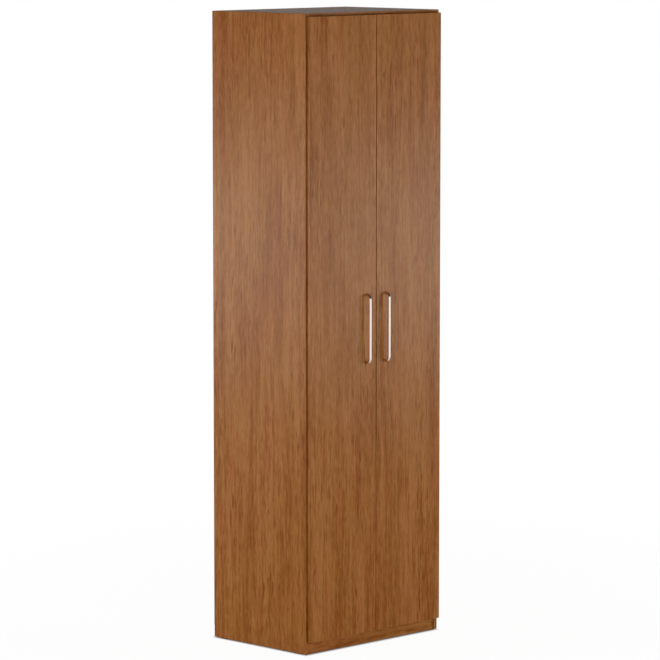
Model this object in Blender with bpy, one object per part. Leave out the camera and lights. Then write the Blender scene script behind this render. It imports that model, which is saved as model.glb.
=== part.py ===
"""Tall two-door wardrobe of laminated board on a recessed plinth.

The carcass holds a hat shelf on pins and a hanging rail in sockets. Each door hangs on
concealed cup hinges: a bent link joins the pin of the fixed arm to the pin inside the cup,
so a door first steps out and then swings clear of the side panel.

Sizes are in metres, with +X to the right, +Y to the back and +Z up. The origin lies on the
floor under the middle of the overall box.
"""

import math

import bmesh
import bpy
from mathutils import Matrix, Vector

# Overall sizes
WIDTH = 0.708
HEIGHT = 2.380
DEPTH = 0.495
BOARD = 0.016
FIT = 0.0003
EDGE_BEVEL = 0.0006

# Base
GLIDE_THICKNESS = 0.003
GLIDE_WIDTH = 0.013
GLIDE_LENGTH = 0.040
GLIDE_INSET = 0.030
PLINTH_HEIGHT = 0.047
PLINTH_RECESS = 0.004
REAR_PLINTH_RECESS = 0.050

# Back sheet
BACK_THICKNESS = 0.003
BACK_INSET = 0.002

# Hat shelf and its pins
HAT_SPACE = 0.340
SHELF_SETBACK = 0.025
SHELF_PLAY = 0.001
PIN_SHAFT_RADIUS = 0.0024
PIN_HEAD_RADIUS = 0.0036
PIN_HEAD_LENGTH = 0.009
PIN_BITE = 0.008
PIN_ROW_INSET = 0.037
PIN_HOLE_PITCH = 0.032
PIN_HOLES_EACH_WAY = 2

# Hanging rail and its sockets
RAIL_RADIUS = 0.0125
RAIL_WALL = 0.0012
RAIL_DROP = 0.060
SOCKET_FLANGE_RADIUS = 0.0225
SOCKET_FLANGE = 0.003
SOCKET_WALL = 0.003
SOCKET_COLLAR = 0.011
SOCKET_FLOOR = 0.0015
SOCKET_SCREW_RADIUS = 0.0016

# Doors
DOOR_THICKNESS = 0.016
DOOR_GAP = 0.002
DOOR_SIDE_REVEAL = 0.006
DOOR_TOP_REVEAL = 0.011
DOOR_BOTTOM = 0.049
DOOR_SEAM = 0.003

# Bow handles
HANDLE_SPAN = 0.256
HANDLE_RADIUS = 0.005
HANDLE_REACH = 0.018
HANDLE_BEND = 0.013
HANDLE_INSET = 0.0495
HANDLE_DROP = 0.0085
HANDLE_SCREW_RADIUS = 0.002
HANDLE_SCREW_BITE = 0.009
SCREW_HEAD_RADIUS = 0.0043
SCREW_HEAD = 0.0024

# Cup hinges: the cup in the door
HINGES_PER_DOOR = 4
HINGE_END = 0.100
CUP_BORE_RADIUS = 0.0175
CUP_TAB = 0.0035
CUP_DEPTH = 0.0115
CUP_WALL = 0.0016
CUP_FLOOR = 0.0012
CUP_RIM = 0.0009
CUP_RIM_OVERLAP = 0.0008
CUP_FLOOR_CHAMFER = 0.0015
CUP_WING_OFFSET = 0.0095
CUP_WING_HALF_WIDTH = 0.007
CUP_WING_SCREW = 0.0225
HINGE_SCREW_RADIUS = 0.0021
CUP_PIN_EDGE = 0.0085
CUP_PIN_DEPTH = 0.0036
CUP_PIN_RADIUS = 0.001

# Cup hinges: the link, its pins and the fixed arm
LINK_BACK = 0.0036
LINK_THICKNESS = 0.0022
LINK_EYE_WALL = 0.0009
LINK_BOW_AT_CUP = (0.0, -0.0072)
LINK_BOW_AT_ARM = (0.0090, -0.0064)
ARM_PIN_RADIUS = 0.0012
ARM_NOSE = 0.0042
ARM_NOSE_CLEARANCE = 0.00205
ARM_SHEET = 0.0012
ARM_WIDTH = 0.014
ARM_LENGTH = 0.064
ARM_DROP = 0.0064
ARM_FLAT_FRONT = 0.010
ARM_SLOPE_END = 0.026
ARM_CHEEK_KNEE = 0.006
ARM_CHEEK_END = 0.016

# Cup hinges: the mounting plate on the side panel
PLATE_BASE = 0.002
PLATE_FRONT = 0.012
PLATE_REAR = 0.060
PLATE_HALF_WIDTH = 0.008
PLATE_SCREW_LINE = 0.037
PLATE_SCREW_SPREAD = 0.016
PLATE_WING_RADIUS = 0.0065
PLATE_RAIL_HALF_WIDTH = 0.0052

# Facets around a full circle
ROUND = 20
RAIL_ROUND = 28
HANDLE_ROUND = 16
SMALL_ROUND = 12
TINY_ROUND = 8
SMOOTH_ANGLE = math.radians(35)

# Places that follow from the sizes above
X, Y, Z = 0, 1, 2
HALF_WIDTH = WIDTH / 2
INNER_HALF = HALF_WIDTH - BOARD
FRONT_REACH = DOOR_GAP + DOOR_THICKNESS + FIT + HANDLE_REACH + HANDLE_RADIUS
REAR_REACH = DEPTH + FIT + BACK_THICKNESS
CARCASS_FRONT = (FRONT_REACH - REAR_REACH) / 2
CARCASS_REAR = CARCASS_FRONT + DEPTH
CARCASS_FOOT = GLIDE_THICKNESS + FIT
BOTTOM_TOP = PLINTH_HEIGHT + BOARD
TOP_UNDER = HEIGHT - BOARD
SHELF_TOP = TOP_UNDER - HAT_SPACE
SHELF_UNDER = SHELF_TOP - BOARD
SHELF_FRONT = CARCASS_FRONT + SHELF_SETBACK
PIN_HEIGHT = SHELF_UNDER - FIT - PIN_HEAD_RADIUS
PIN_ROWS = {"front": SHELF_FRONT + PIN_ROW_INSET, "rear": CARCASS_REAR - PIN_ROW_INSET}
RAIL_Y = CARCASS_FRONT + DEPTH / 2
RAIL_Z = SHELF_UNDER - RAIL_DROP
DOOR_BACK = CARCASS_FRONT - DOOR_GAP
DOOR_FRONT = DOOR_BACK - DOOR_THICKNESS
DOOR_TOP = HEIGHT - DOOR_TOP_REVEAL
DOOR_OUTER = HALF_WIDTH - DOOR_SIDE_REVEAL
DOOR_INNER = DOOR_SEAM / 2
HANDLE_X = DOOR_INNER + HANDLE_INSET
HANDLE_Z = (DOOR_BOTTOM + DOOR_TOP) / 2 - HANDLE_DROP
SIDES = {"left": -1, "right": 1}
HINGE_STEP = (DOOR_TOP - DOOR_BOTTOM - 2 * HINGE_END) / (HINGES_PER_DOOR - 1)
HINGE_HEIGHTS = [DOOR_BOTTOM + HINGE_END + i * HINGE_STEP for i in range(HINGES_PER_DOOR)]

# Hinge points as (inwards from the side panel's inner face, back from the carcass front)
DOOR_EDGE_IN = DOOR_SIDE_REVEAL - BOARD
CUP_CENTRE_IN = DOOR_EDGE_IN + CUP_TAB + CUP_BORE_RADIUS
CUP_RADIUS = CUP_BORE_RADIUS - FIT
CUP_HOLLOW = CUP_RADIUS - CUP_WALL
NOSE_TIP_IN = math.sqrt((CUP_HOLLOW - ARM_NOSE_CLEARANCE) ** 2 - (ARM_WIDTH / 2) ** 2)
CUP_PIN = Vector((DOOR_EDGE_IN + CUP_PIN_EDGE, -DOOR_GAP - CUP_PIN_DEPTH))
ARM_PIN = Vector((CUP_CENTRE_IN + NOSE_TIP_IN - ARM_NOSE, CUP_PIN.y + LINK_BACK))
LINK_EYE_AT_CUP = CUP_PIN_RADIUS + FIT + LINK_EYE_WALL
LINK_CORNER = CUP_CENTRE_IN - CUP_PIN.x + LINK_EYE_AT_CUP + FIT
LINK_HALF_WIDTH = math.sqrt(CUP_HOLLOW**2 - LINK_CORNER**2)
ARM_REAR_TOP = ARM_PIN.x - ARM_DROP
PLATE_RAIL_TOP = ARM_REAR_TOP - ARM_SHEET - FIT


def linear(channel):
    """Linear light value of one display colour channel from 0 to 255."""
    share = channel / 255
    return share / 12.92 if share <= 0.04045 else ((share + 0.055) / 1.055) ** 2.4


def finish(name, colour, roughness, metallic=0.0):
    """Principled material of a display colour."""
    material = bpy.data.materials.new(name)
    material.use_nodes = True
    shader = material.node_tree.nodes["Principled BSDF"]
    shader.inputs["Base Color"].default_value = (*map(linear, colour), 1.0)
    shader.inputs["Roughness"].default_value = roughness
    shader.inputs["Metallic"].default_value = metallic
    return material


def clear_scene():
    """Removes every object of the scene."""
    for obj in list(bpy.data.objects):
        bpy.data.objects.remove(obj, do_unlink=True)


def on_axis(axis, first, second, along):
    """Point whose third coordinate runs along an axis and the other two keep X, Y, Z order."""
    point = [first, second]
    point.insert(axis, along)
    return Vector(point)


def arc(centre, radius, start, end, steps):
    """Points of an arc in the plane, from one angle in degrees to another."""
    angles = [math.radians(start + (end - start) * i / steps) for i in range(steps + 1)]
    return [(centre[0] + radius * math.cos(a), centre[1] + radius * math.sin(a)) for a in angles]


def slot_outline(centre, half_length, radius):
    """Outline of a plate with round ends that runs along the second coordinate."""
    straight = half_length - radius
    upper = arc((centre[0], centre[1] + straight), radius, 0, 180, 6)
    lower = arc((centre[0], centre[1] - straight), radius, 180, 360, 6)
    return upper + lower


def add_box(form, low, high, bevel=0.0):
    """Adds a box between two corners, with its edges taken off by a bevel."""
    low, high = Vector(low), Vector(high)
    place = Matrix.Translation((low + high) / 2) @ Matrix.Diagonal((*(high - low), 1.0))
    made = bmesh.ops.create_cube(form, size=1.0, matrix=place)
    if bevel:
        edges = list({edge for vert in made["verts"] for edge in vert.link_edges})
        bmesh.ops.bevel(form, geom=edges, offset=bevel, segments=1, affect="EDGES")


def add_prism(form, outline, axis, start, end, bevel=0.0):
    """Adds an outline drawn out along an axis, with the rims of its two ends bevelled."""
    loops = [[form.verts.new(on_axis(axis, *point, t)) for point in outline] for t in (start, end)]
    caps = [form.faces.new(loop) for loop in loops]
    for i in range(len(outline)):
        j = (i + 1) % len(outline)
        form.faces.new((loops[0][i], loops[0][j], loops[1][j], loops[1][i]))
    if bevel:
        rims = [edge for cap in caps for edge in cap.edges]
        bmesh.ops.bevel(form, geom=rims, offset=bevel, segments=1, affect="EDGES")


def add_turned(form, profile, axis, centre, sides, closed=False):
    """Adds a profile of (radius, along) points turned about an axis, with flat ends or as a tube."""
    centre = Vector(centre)
    turns = [2 * math.pi * i / sides for i in range(sides)]
    rings = []
    for radius, along in profile:
        points = [on_axis(axis, radius * math.cos(t), radius * math.sin(t), along) for t in turns]
        rings.append([form.verts.new(centre + point) for point in points])
    pairs = list(zip(rings, rings[1:]))
    if closed:
        pairs.append((rings[-1], rings[0]))
    else:
        form.faces.new(rings[0])
        form.faces.new(rings[-1])
    for first, second in pairs:
        for i in range(sides):
            j = (i + 1) % sides
            form.faces.new((first[i], first[j], second[j], second[i]))


def add_rod(form, radius, axis, centre, start, end, sides):
    """Adds a plain round rod along an axis."""
    add_turned(form, [(radius, start), (radius, end)], axis, centre, sides)


def add_bent_bar(form, path, radius, x, sides):
    """Adds a round bar whose centre line is a path of (y, z) points in an upright plane."""
    rings = []
    for i, point in enumerate(path):
        ahead = Vector(path[min(i + 1, len(path) - 1)]) - Vector(path[max(i - 1, 0)])
        across = Vector((-ahead.y, ahead.x)).normalized()
        ring = []
        for k in range(sides):
            turn = 2 * math.pi * k / sides
            off = across * radius * math.sin(turn)
            ring.append(form.verts.new((x + radius * math.cos(turn), point[0] + off.x, point[1] + off.y)))
        rings.append(ring)
    form.faces.new(rings[0])
    form.faces.new(rings[-1])
    for first, second in zip(rings, rings[1:]):
        for i in range(sides):
            j = (i + 1) % sides
            form.faces.new((first[i], first[j], second[j], second[i]))


def shape(add, *arguments, **options):
    """New form that holds one added shape."""
    form = bmesh.new()
    add(form, *arguments, **options)
    return form


def to_object(name, form):
    """Object of a form, with its faces turned outwards."""
    bmesh.ops.recalc_face_normals(form, faces=form.faces)
    mesh = bpy.data.meshes.new(name)
    form.to_mesh(mesh)
    form.free()
    obj = bpy.data.objects.new(name, mesh)
    bpy.context.scene.collection.objects.link(obj)
    return obj


def carve(name, form, *steps):
    """Mesh of a form after a chain of Boolean steps, each an operation and another form."""
    base = to_object(name, form)
    helpers = []
    for operation, other in steps:
        helper = to_object(name + "_helper", other)
        helper.hide_render = True
        helper.display_type = "WIRE"
        modifier = base.modifiers.new(operation.lower(), "BOOLEAN")
        modifier.operation = operation
        modifier.solver = "EXACT"
        modifier.object = helper
        helpers.append(helper)
    graph = bpy.context.evaluated_depsgraph_get()
    mesh = bpy.data.meshes.new_from_object(base.evaluated_get(graph))
    mesh.name = name
    mesh.shade_smooth()
    mesh.set_sharp_from_angle(angle=SMOOTH_ANGLE)
    for obj in (base, *helpers):
        bpy.data.objects.remove(obj, do_unlink=True)
    return mesh


class Pivot:
    """Empty on an upright joint axis, which carries the pieces that turn about it."""

    def __init__(self, name, x, y, parent=None):
        self.at = Vector((x, y, 0.0))
        self.empty = bpy.data.objects.new(name, None)
        self.empty.empty_display_size = 0.05
        bpy.context.scene.collection.objects.link(self.empty)
        if parent:
            self.empty.parent = parent.empty
            self.empty.location = self.at - parent.at
        else:
            self.empty.location = self.at

    def take(self, mesh):
        """The mesh moved so that its origin lies on the axis."""
        mesh.transform(Matrix.Translation(-self.at))
        return mesh


def add_part(name, mesh, material, pivot=None, height=0.0):
    """One named piece of the wardrobe, carried by a pivot if it moves."""
    if not mesh.materials:
        mesh.materials.append(material)
    obj = bpy.data.objects.new(name, mesh)
    bpy.context.scene.collection.objects.link(obj)
    obj.parent = pivot.empty if pivot else None
    obj.location.z = height
    return obj


def hinge_x(side, inwards):
    """World X of a distance inwards from one side panel's inner face."""
    return side * (INNER_HALF - inwards)


def hinge_point(side, point):
    """World (x, y) of a hinge point."""
    return (hinge_x(side, point[0]), CARCASS_FRONT + point[1])


def board(name, low, high, material):
    """A plain board between two corners."""
    return add_part(name, carve(name, shape(add_box, low, high, EDGE_BEVEL)), material)


def build_panels(wood, hardboard):
    """Carcass boards: top, bottom, both plinths, hat shelf and back sheet."""
    inner = INNER_HALF - FIT
    front, rear = CARCASS_FRONT, CARCASS_REAR
    board("top_panel", (-inner, front, TOP_UNDER), (inner, rear, HEIGHT), wood)
    board("bottom_panel", (-inner, front, PLINTH_HEIGHT), (inner, rear, BOTTOM_TOP), wood)
    foot, head = CARCASS_FOOT, PLINTH_HEIGHT - FIT
    plinth_front = front + PLINTH_RECESS
    board("plinth_board", (-inner, plinth_front, foot), (inner, plinth_front + BOARD, head), wood)
    plinth_rear = rear - REAR_PLINTH_RECESS
    board("rear_plinth_board", (-inner, plinth_rear - BOARD, foot), (inner, plinth_rear, head), wood)
    shelf = INNER_HALF - SHELF_PLAY
    board("hat_shelf", (-shelf, SHELF_FRONT, SHELF_UNDER), (shelf, rear - SHELF_PLAY, SHELF_TOP), wood)
    sheet = HALF_WIDTH - BACK_INSET
    back_low = (-sheet, rear + FIT, PLINTH_HEIGHT + BACK_INSET)
    board("back_panel", back_low, (sheet, rear + REAR_REACH - DEPTH, HEIGHT - BACK_INSET), hardboard)


def build_side(word, side, wood):
    """Side panel with its rows of shelf pin holes."""
    holes = bmesh.new()
    for y in PIN_ROWS.values():
        for step in range(-PIN_HOLES_EACH_WAY, PIN_HOLES_EACH_WAY + 1):
            centre = (side * INNER_HALF, y, PIN_HEIGHT + step * PIN_HOLE_PITCH)
            deep = side * (PIN_BITE + FIT)
            add_rod(holes, PIN_SHAFT_RADIUS + FIT, X, centre, -side * BOARD, deep, TINY_ROUND)
    low = (min(side * INNER_HALF, side * HALF_WIDTH), CARCASS_FRONT, CARCASS_FOOT)
    high = (max(side * INNER_HALF, side * HALF_WIDTH), CARCASS_REAR, HEIGHT)
    name = f"{word}_side_panel"
    add_part(name, carve(name, shape(add_box, low, high, EDGE_BEVEL), ("DIFFERENCE", holes)), wood)


def build_glides(word, side, plastic):
    """Nail-on floor glides under the front and rear of a side panel."""
    reach = GLIDE_INSET + GLIDE_LENGTH / 2
    for place, y in (("front", CARCASS_FRONT + reach), ("rear", CARCASS_REAR - reach)):
        name = f"{word}_{place}_glide"
        outline = slot_outline((side * (HALF_WIDTH - BOARD / 2), y), GLIDE_LENGTH / 2, GLIDE_WIDTH / 2)
        add_part(name, carve(name, shape(add_prism, outline, Z, 0.0, GLIDE_THICKNESS, EDGE_BEVEL)), plastic)


def build_shelf_pins(word, side, steel):
    """Headed pins that carry the hat shelf at one side."""
    profile = [
        (PIN_SHAFT_RADIUS, PIN_BITE),
        (PIN_SHAFT_RADIUS, -FIT),
        (PIN_HEAD_RADIUS, -FIT),
        (PIN_HEAD_RADIUS, EDGE_BEVEL - PIN_HEAD_LENGTH),
        (PIN_HEAD_RADIUS - EDGE_BEVEL, -PIN_HEAD_LENGTH),
    ]
    outwards = [(radius, side * along) for radius, along in profile]
    for place, y in PIN_ROWS.items():
        name = f"{word}_{place}_shelf_pin"
        centre = (side * INNER_HALF, y, PIN_HEIGHT)
        add_part(name, carve(name, shape(add_turned, outwards, X, centre, TINY_ROUND)), steel)


def build_rail(chrome):
    """Round hanging rail between the two sockets."""
    reach = INNER_HALF - SOCKET_FLOOR - 2 * FIT
    bore = RAIL_RADIUS - RAIL_WALL
    profile = [(RAIL_RADIUS, -reach), (RAIL_RADIUS, reach), (bore, reach), (bore, -reach)]
    tube = shape(add_turned, profile, X, (0, RAIL_Y, RAIL_Z), RAIL_ROUND, closed=True)
    mesh = carve("hanging_rail", tube)
    add_part("hanging_rail", mesh, chrome)


def build_socket(word, side, chrome):
    """Flanged socket that holds one end of the rail."""
    bore = RAIL_RADIUS + FIT
    collar = bore + SOCKET_WALL
    length = SOCKET_FLANGE + SOCKET_COLLAR
    profile = [
        (SOCKET_FLANGE_RADIUS, FIT),
        (SOCKET_FLANGE_RADIUS, SOCKET_FLANGE - EDGE_BEVEL),
        (SOCKET_FLANGE_RADIUS - EDGE_BEVEL, SOCKET_FLANGE),
        (collar, SOCKET_FLANGE),
        (collar, length - EDGE_BEVEL),
        (collar - EDGE_BEVEL, length),
        (bore, length),
        (bore, SOCKET_FLOOR),
    ]
    inwards = [(radius, -side * along) for radius, along in profile]
    centre = Vector((side * INNER_HALF, RAIL_Y, RAIL_Z))
    screws = bmesh.new()
    screw_line = (collar + SOCKET_FLANGE_RADIUS) / 2
    for up in (-screw_line, screw_line):
        hole = centre + Vector((0, 0, up))
        add_rod(screws, SOCKET_SCREW_RADIUS, X, hole, side * BOARD, -side * length, TINY_ROUND)
    name = f"{word}_rail_socket"
    mesh = carve(name, shape(add_turned, inwards, X, centre, ROUND), ("DIFFERENCE", screws))
    add_part(name, mesh, chrome)


def build_door(word, side, pivot, wood):
    """Overlay door with its cup bores and handle screw holes."""
    bores = bmesh.new()
    cup_x = hinge_x(side, CUP_CENTRE_IN)
    for z in HINGE_HEIGHTS:
        centre = (cup_x, DOOR_BACK, z)
        add_rod(bores, CUP_BORE_RADIUS, Y, centre, -CUP_DEPTH - FIT, DOOR_THICKNESS, ROUND)
    for up in (-HANDLE_SPAN / 2, HANDLE_SPAN / 2):
        centre = (side * HANDLE_X, DOOR_BACK, HANDLE_Z + up)
        through = 2 * DOOR_THICKNESS
        add_rod(bores, HANDLE_SCREW_RADIUS + FIT, Y, centre, -through, through, TINY_ROUND)
    edges = sorted((side * DOOR_INNER, side * DOOR_OUTER))
    low = (edges[0], DOOR_FRONT, DOOR_BOTTOM)
    high = (edges[1], DOOR_BACK, DOOR_TOP)
    name = f"{word}_door"
    mesh = carve(name, shape(add_box, low, high, EDGE_BEVEL), ("DIFFERENCE", bores))
    add_part(name, pivot.take(mesh), wood, pivot)


def build_handle(word, side, pivot, chrome, steel):
    """Round bow handle and the two screws that hold it from inside the door."""
    x = side * HANDLE_X
    foot = DOOR_FRONT - FIT
    leg = foot - HANDLE_REACH + HANDLE_BEND
    half = HANDLE_SPAN / 2
    upper = arc((leg, HANDLE_Z + half - HANDLE_BEND), HANDLE_BEND, 90, 180, 6)
    lower = arc((leg, HANDLE_Z - half + HANDLE_BEND), HANDLE_BEND, 180, 270, 6)
    path = [(foot, HANDLE_Z + half), *upper, *lower, (foot, HANDLE_Z - half)]
    sockets = bmesh.new()
    for up in (-half, half):
        centre = (x, foot, HANDLE_Z + up)
        deep = -HANDLE_SCREW_BITE - FIT
        add_rod(sockets, HANDLE_SCREW_RADIUS + FIT, Y, centre, deep, HANDLE_REACH, TINY_ROUND)
    name = f"{word}_handle"
    bar = shape(add_bent_bar, path, HANDLE_RADIUS, x, HANDLE_ROUND)
    add_part(name, pivot.take(carve(name, bar, ("DIFFERENCE", sockets))), chrome, pivot)

    tip = DOOR_FRONT - HANDLE_SCREW_BITE
    head = DOOR_BACK + FIT
    profile = [
        (HANDLE_SCREW_RADIUS, tip),
        (HANDLE_SCREW_RADIUS, head),
        (SCREW_HEAD_RADIUS, head),
        (SCREW_HEAD_RADIUS, head + SCREW_HEAD / 2),
        (SCREW_HEAD_RADIUS / 2, head + SCREW_HEAD),
    ]
    name = f"{word}_handle_screw"
    screw = pivot.take(carve(name, shape(add_turned, profile, Y, (x, 0, 0), TINY_ROUND)))
    for place, up in (("upper", half), ("lower", -half)):
        add_part(f"{word}_{place}_handle_screw", screw, steel, pivot, HANDLE_Z + up)


def hinge_cup(side):
    """Pressed cup with its rim, its screw wings and the pin across its mouth."""
    centre = (hinge_x(side, CUP_CENTRE_IN), DOOR_BACK, 0.0)
    radius, hollow = CUP_RADIUS, CUP_HOLLOW
    rim = CUP_BORE_RADIUS + CUP_RIM_OVERLAP
    top = FIT + CUP_RIM
    floor = -CUP_DEPTH
    body = [
        (radius - EDGE_BEVEL, floor),
        (radius, floor + EDGE_BEVEL),
        (radius, FIT),
        (rim, FIT),
        (rim, top),
    ]
    inner_floor = floor + CUP_FLOOR
    cavity = [
        (hollow - CUP_FLOOR_CHAMFER, inner_floor),
        (hollow, inner_floor + CUP_FLOOR_CHAMFER),
        (hollow, top + CUP_DEPTH),
    ]
    wing_x = hinge_x(side, CUP_CENTRE_IN + CUP_WING_OFFSET)
    wing_half = CUP_WING_SCREW + CUP_WING_HALF_WIDTH
    outline = slot_outline((wing_x, 0.0), wing_half, CUP_WING_HALF_WIDTH)
    inset = CUP_RIM / 9
    wing = shape(add_prism, outline, Y, DOOR_BACK + FIT + inset, DOOR_BACK + top - inset)
    cuts = shape(add_turned, cavity, Y, centre, ROUND)
    for up in (-CUP_WING_SCREW, CUP_WING_SCREW):
        add_rod(cuts, HINGE_SCREW_RADIUS, Y, (wing_x, DOOR_BACK, up), -CUP_RIM, CUP_DEPTH, TINY_ROUND)
    pin_x, pin_y = hinge_point(side, CUP_PIN)
    chord = math.sqrt((radius - CUP_WALL / 2) ** 2 - (CUP_CENTRE_IN - CUP_PIN.x) ** 2) - FIT
    pin = shape(add_rod, CUP_PIN_RADIUS, Z, (pin_x, pin_y, 0), -chord, chord, TINY_ROUND)
    pressed = shape(add_turned, body, Y, centre, ROUND)
    return carve(f"cup_{side}", pressed, ("UNION", wing), ("DIFFERENCE", cuts), ("UNION", pin))


def hinge_link(side):
    """Bent link with an eye on the cup's pin and an eye on the arm's pin."""
    along = (ARM_PIN - CUP_PIN).normalized()
    across = Vector((-along.y, along.x))
    bow_at_cup = CUP_PIN + along * LINK_BOW_AT_CUP[0] + across * LINK_BOW_AT_CUP[1]
    bow_at_arm = CUP_PIN + along * LINK_BOW_AT_ARM[0] + across * LINK_BOW_AT_ARM[1]
    steps = 7
    upper, lower = [], []
    for i in range(steps + 1):
        t = i / steps
        s = 1 - t
        point = s**3 * CUP_PIN + 3 * s * s * t * bow_at_cup + 3 * s * t * t * bow_at_arm + t**3 * ARM_PIN
        ahead = s * s * (bow_at_cup - CUP_PIN) + 2 * s * t * (bow_at_arm - bow_at_cup)
        ahead = (ahead + t * t * (ARM_PIN - bow_at_arm)).normalized()
        off = Vector((-ahead.y, ahead.x)) * LINK_THICKNESS / 2
        upper.append(hinge_point(side, point + off))
        lower.append(hinge_point(side, point - off))
    half = LINK_HALF_WIDTH
    bar_half = half - LINK_EYE_WALL / 2
    bar = shape(add_prism, upper + lower[::-1], Z, -bar_half, bar_half)
    eyes, holes = bmesh.new(), bmesh.new()
    for point, pin_radius in ((CUP_PIN, CUP_PIN_RADIUS), (ARM_PIN, ARM_PIN_RADIUS)):
        centre = (*hinge_point(side, point), 0.0)
        hole = pin_radius + FIT
        add_rod(eyes, hole + LINK_EYE_WALL, Z, centre, -half, half, SMALL_ROUND)
        add_rod(holes, hole, Z, centre, -2 * half, 2 * half, SMALL_ROUND)
    return carve(f"link_{side}", bar, ("UNION", eyes), ("DIFFERENCE", holes))


def hinge_arm(side):
    """Folded channel arm that rises to its nose, with the pin across the nose."""
    nose_top = ARM_PIN.x + ARM_NOSE
    nose_under = ARM_PIN.x - ARM_NOSE
    cheek_foot = PLATE_BASE + FIT + ARM_SHEET
    nose = arc(ARM_PIN, ARM_NOSE, 360, 180, 8)
    outline = [
        *nose,
        (nose_under, ARM_CHEEK_KNEE),
        (cheek_foot, ARM_CHEEK_END),
        (cheek_foot, ARM_LENGTH),
        (ARM_REAR_TOP, ARM_LENGTH),
        (ARM_REAR_TOP, ARM_SLOPE_END),
        (nose_top, ARM_FLAT_FRONT),
    ]
    ahead = ARM_PIN.y - 2 * ARM_NOSE
    beyond = ARM_LENGTH + BOARD
    channel = [
        (-BOARD, ahead),
        (nose_top - ARM_SHEET, ahead),
        (nose_top - ARM_SHEET, ARM_FLAT_FRONT),
        (ARM_REAR_TOP - ARM_SHEET, ARM_SLOPE_END),
        (ARM_REAR_TOP - ARM_SHEET, beyond),
        (-BOARD, beyond),
    ]
    half = ARM_WIDTH / 2
    gap = half - ARM_SHEET
    sheet = shape(add_prism, [hinge_point(side, p) for p in outline], Z, -half, half)
    hollow = shape(add_prism, [hinge_point(side, p) for p in channel], Z, -gap, gap)
    centre = (*hinge_point(side, ARM_PIN), 0.0)
    reach = half - ARM_SHEET / 2
    pin = shape(add_rod, ARM_PIN_RADIUS, Z, centre, -reach, reach, SMALL_ROUND)
    return carve(f"arm_{side}", sheet, ("DIFFERENCE", hollow), ("UNION", pin))


def hinge_plate(side):
    """Cross-shaped mounting plate with the rail that the arm sits on."""
    front, rear = CARCASS_FRONT + PLATE_FRONT, CARCASS_FRONT + PLATE_REAR
    line = CARCASS_FRONT + PLATE_SCREW_LINE
    face = side * (INNER_HALF - FIT)
    base_top = side * (INNER_HALF - FIT - PLATE_BASE)
    wings = slot_outline((line, 0.0), PLATE_SCREW_SPREAD + PLATE_WING_RADIUS, PLATE_WING_RADIUS)
    base = shape(add_prism, wings, X, face, base_top)
    half = PLATE_HALF_WIDTH
    spine = bmesh.new()
    inset = side * PLATE_BASE / 9
    corners = [(front, -half), (rear, -half), (rear, half), (front, half)]
    add_prism(spine, corners, X, face - inset, base_top + inset)
    rail = bmesh.new()
    rail_low = sorted((base_top + 4 * inset, hinge_x(side, PLATE_RAIL_TOP)))
    rail_half = PLATE_RAIL_HALF_WIDTH
    margin = PLATE_HALF_WIDTH - PLATE_RAIL_HALF_WIDTH
    low = (rail_low[0], front + margin, -rail_half)
    add_box(rail, low, (rail_low[1], rear - margin, rail_half), EDGE_BEVEL)
    holes = bmesh.new()
    for up in (-PLATE_SCREW_SPREAD, PLATE_SCREW_SPREAD):
        centre = (face, line, up)
        add_rod(holes, HINGE_SCREW_RADIUS, X, centre, side * BOARD, -side * BOARD, TINY_ROUND)
    return carve(f"plate_{side}", base, ("UNION", spine), ("UNION", rail), ("DIFFERENCE", holes))


def build_hinges(word, side, links_pivot, door_pivot, nickel):
    """Every cup hinge of one door, each made of a plate, an arm, a link and a cup."""
    pieces = (
        ("plate", hinge_plate(side), None),
        ("arm", hinge_arm(side), None),
        ("link", links_pivot.take(hinge_link(side)), links_pivot),
        ("cup", door_pivot.take(hinge_cup(side)), door_pivot),
    )
    for number, height in enumerate(HINGE_HEIGHTS, start=1):
        for piece, mesh, pivot in pieces:
            add_part(f"{word}_hinge_{piece}_{number}", mesh, nickel, pivot, height)


def main():
    """Builds the whole wardrobe."""
    clear_scene()
    wood = finish("brown_laminate", (146, 98, 63), 0.45)
    hardboard = finish("brown_hardboard", (128, 92, 64), 0.75)
    chrome = finish("bright_chrome", (214, 214, 216), 0.12, 1.0)
    nickel = finish("hinge_nickel", (176, 174, 170), 0.28, 1.0)
    steel = finish("zinc_steel", (168, 168, 170), 0.35, 1.0)
    plastic = finish("brown_plastic", (84, 58, 42), 0.55)
    build_panels(wood, hardboard)
    build_rail(chrome)
    for word, side in SIDES.items():
        build_side(word, side, wood)
        build_glides(word, side, plastic)
        build_shelf_pins(word, side, steel)
        build_socket(word, side, chrome)
        links_pivot = Pivot(f"{word}_links_axis", *hinge_point(side, ARM_PIN))
        door_pivot = Pivot(f"{word}_door_axis", *hinge_point(side, CUP_PIN), links_pivot)
        build_door(word, side, door_pivot, wood)
        build_handle(word, side, door_pivot, chrome, steel)
        build_hinges(word, side, links_pivot, door_pivot, nickel)


main()
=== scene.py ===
"""Finished looks of a tall two-door wardrobe in brown laminate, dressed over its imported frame.

Boards get their grain and edge bands, the ironmongery gets its turned, folded and pressed
shapes, and screws and nails are driven where the frame has their holes. Sizes are in metres,
with +X to the right, +Y to the back and +Z up.
"""

import logging
import math
from collections.abc import Sequence
from dataclasses import dataclass, field
from enum import Enum, IntEnum

import bmesh
import bpy
from mathutils import Matrix, Vector


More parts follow.
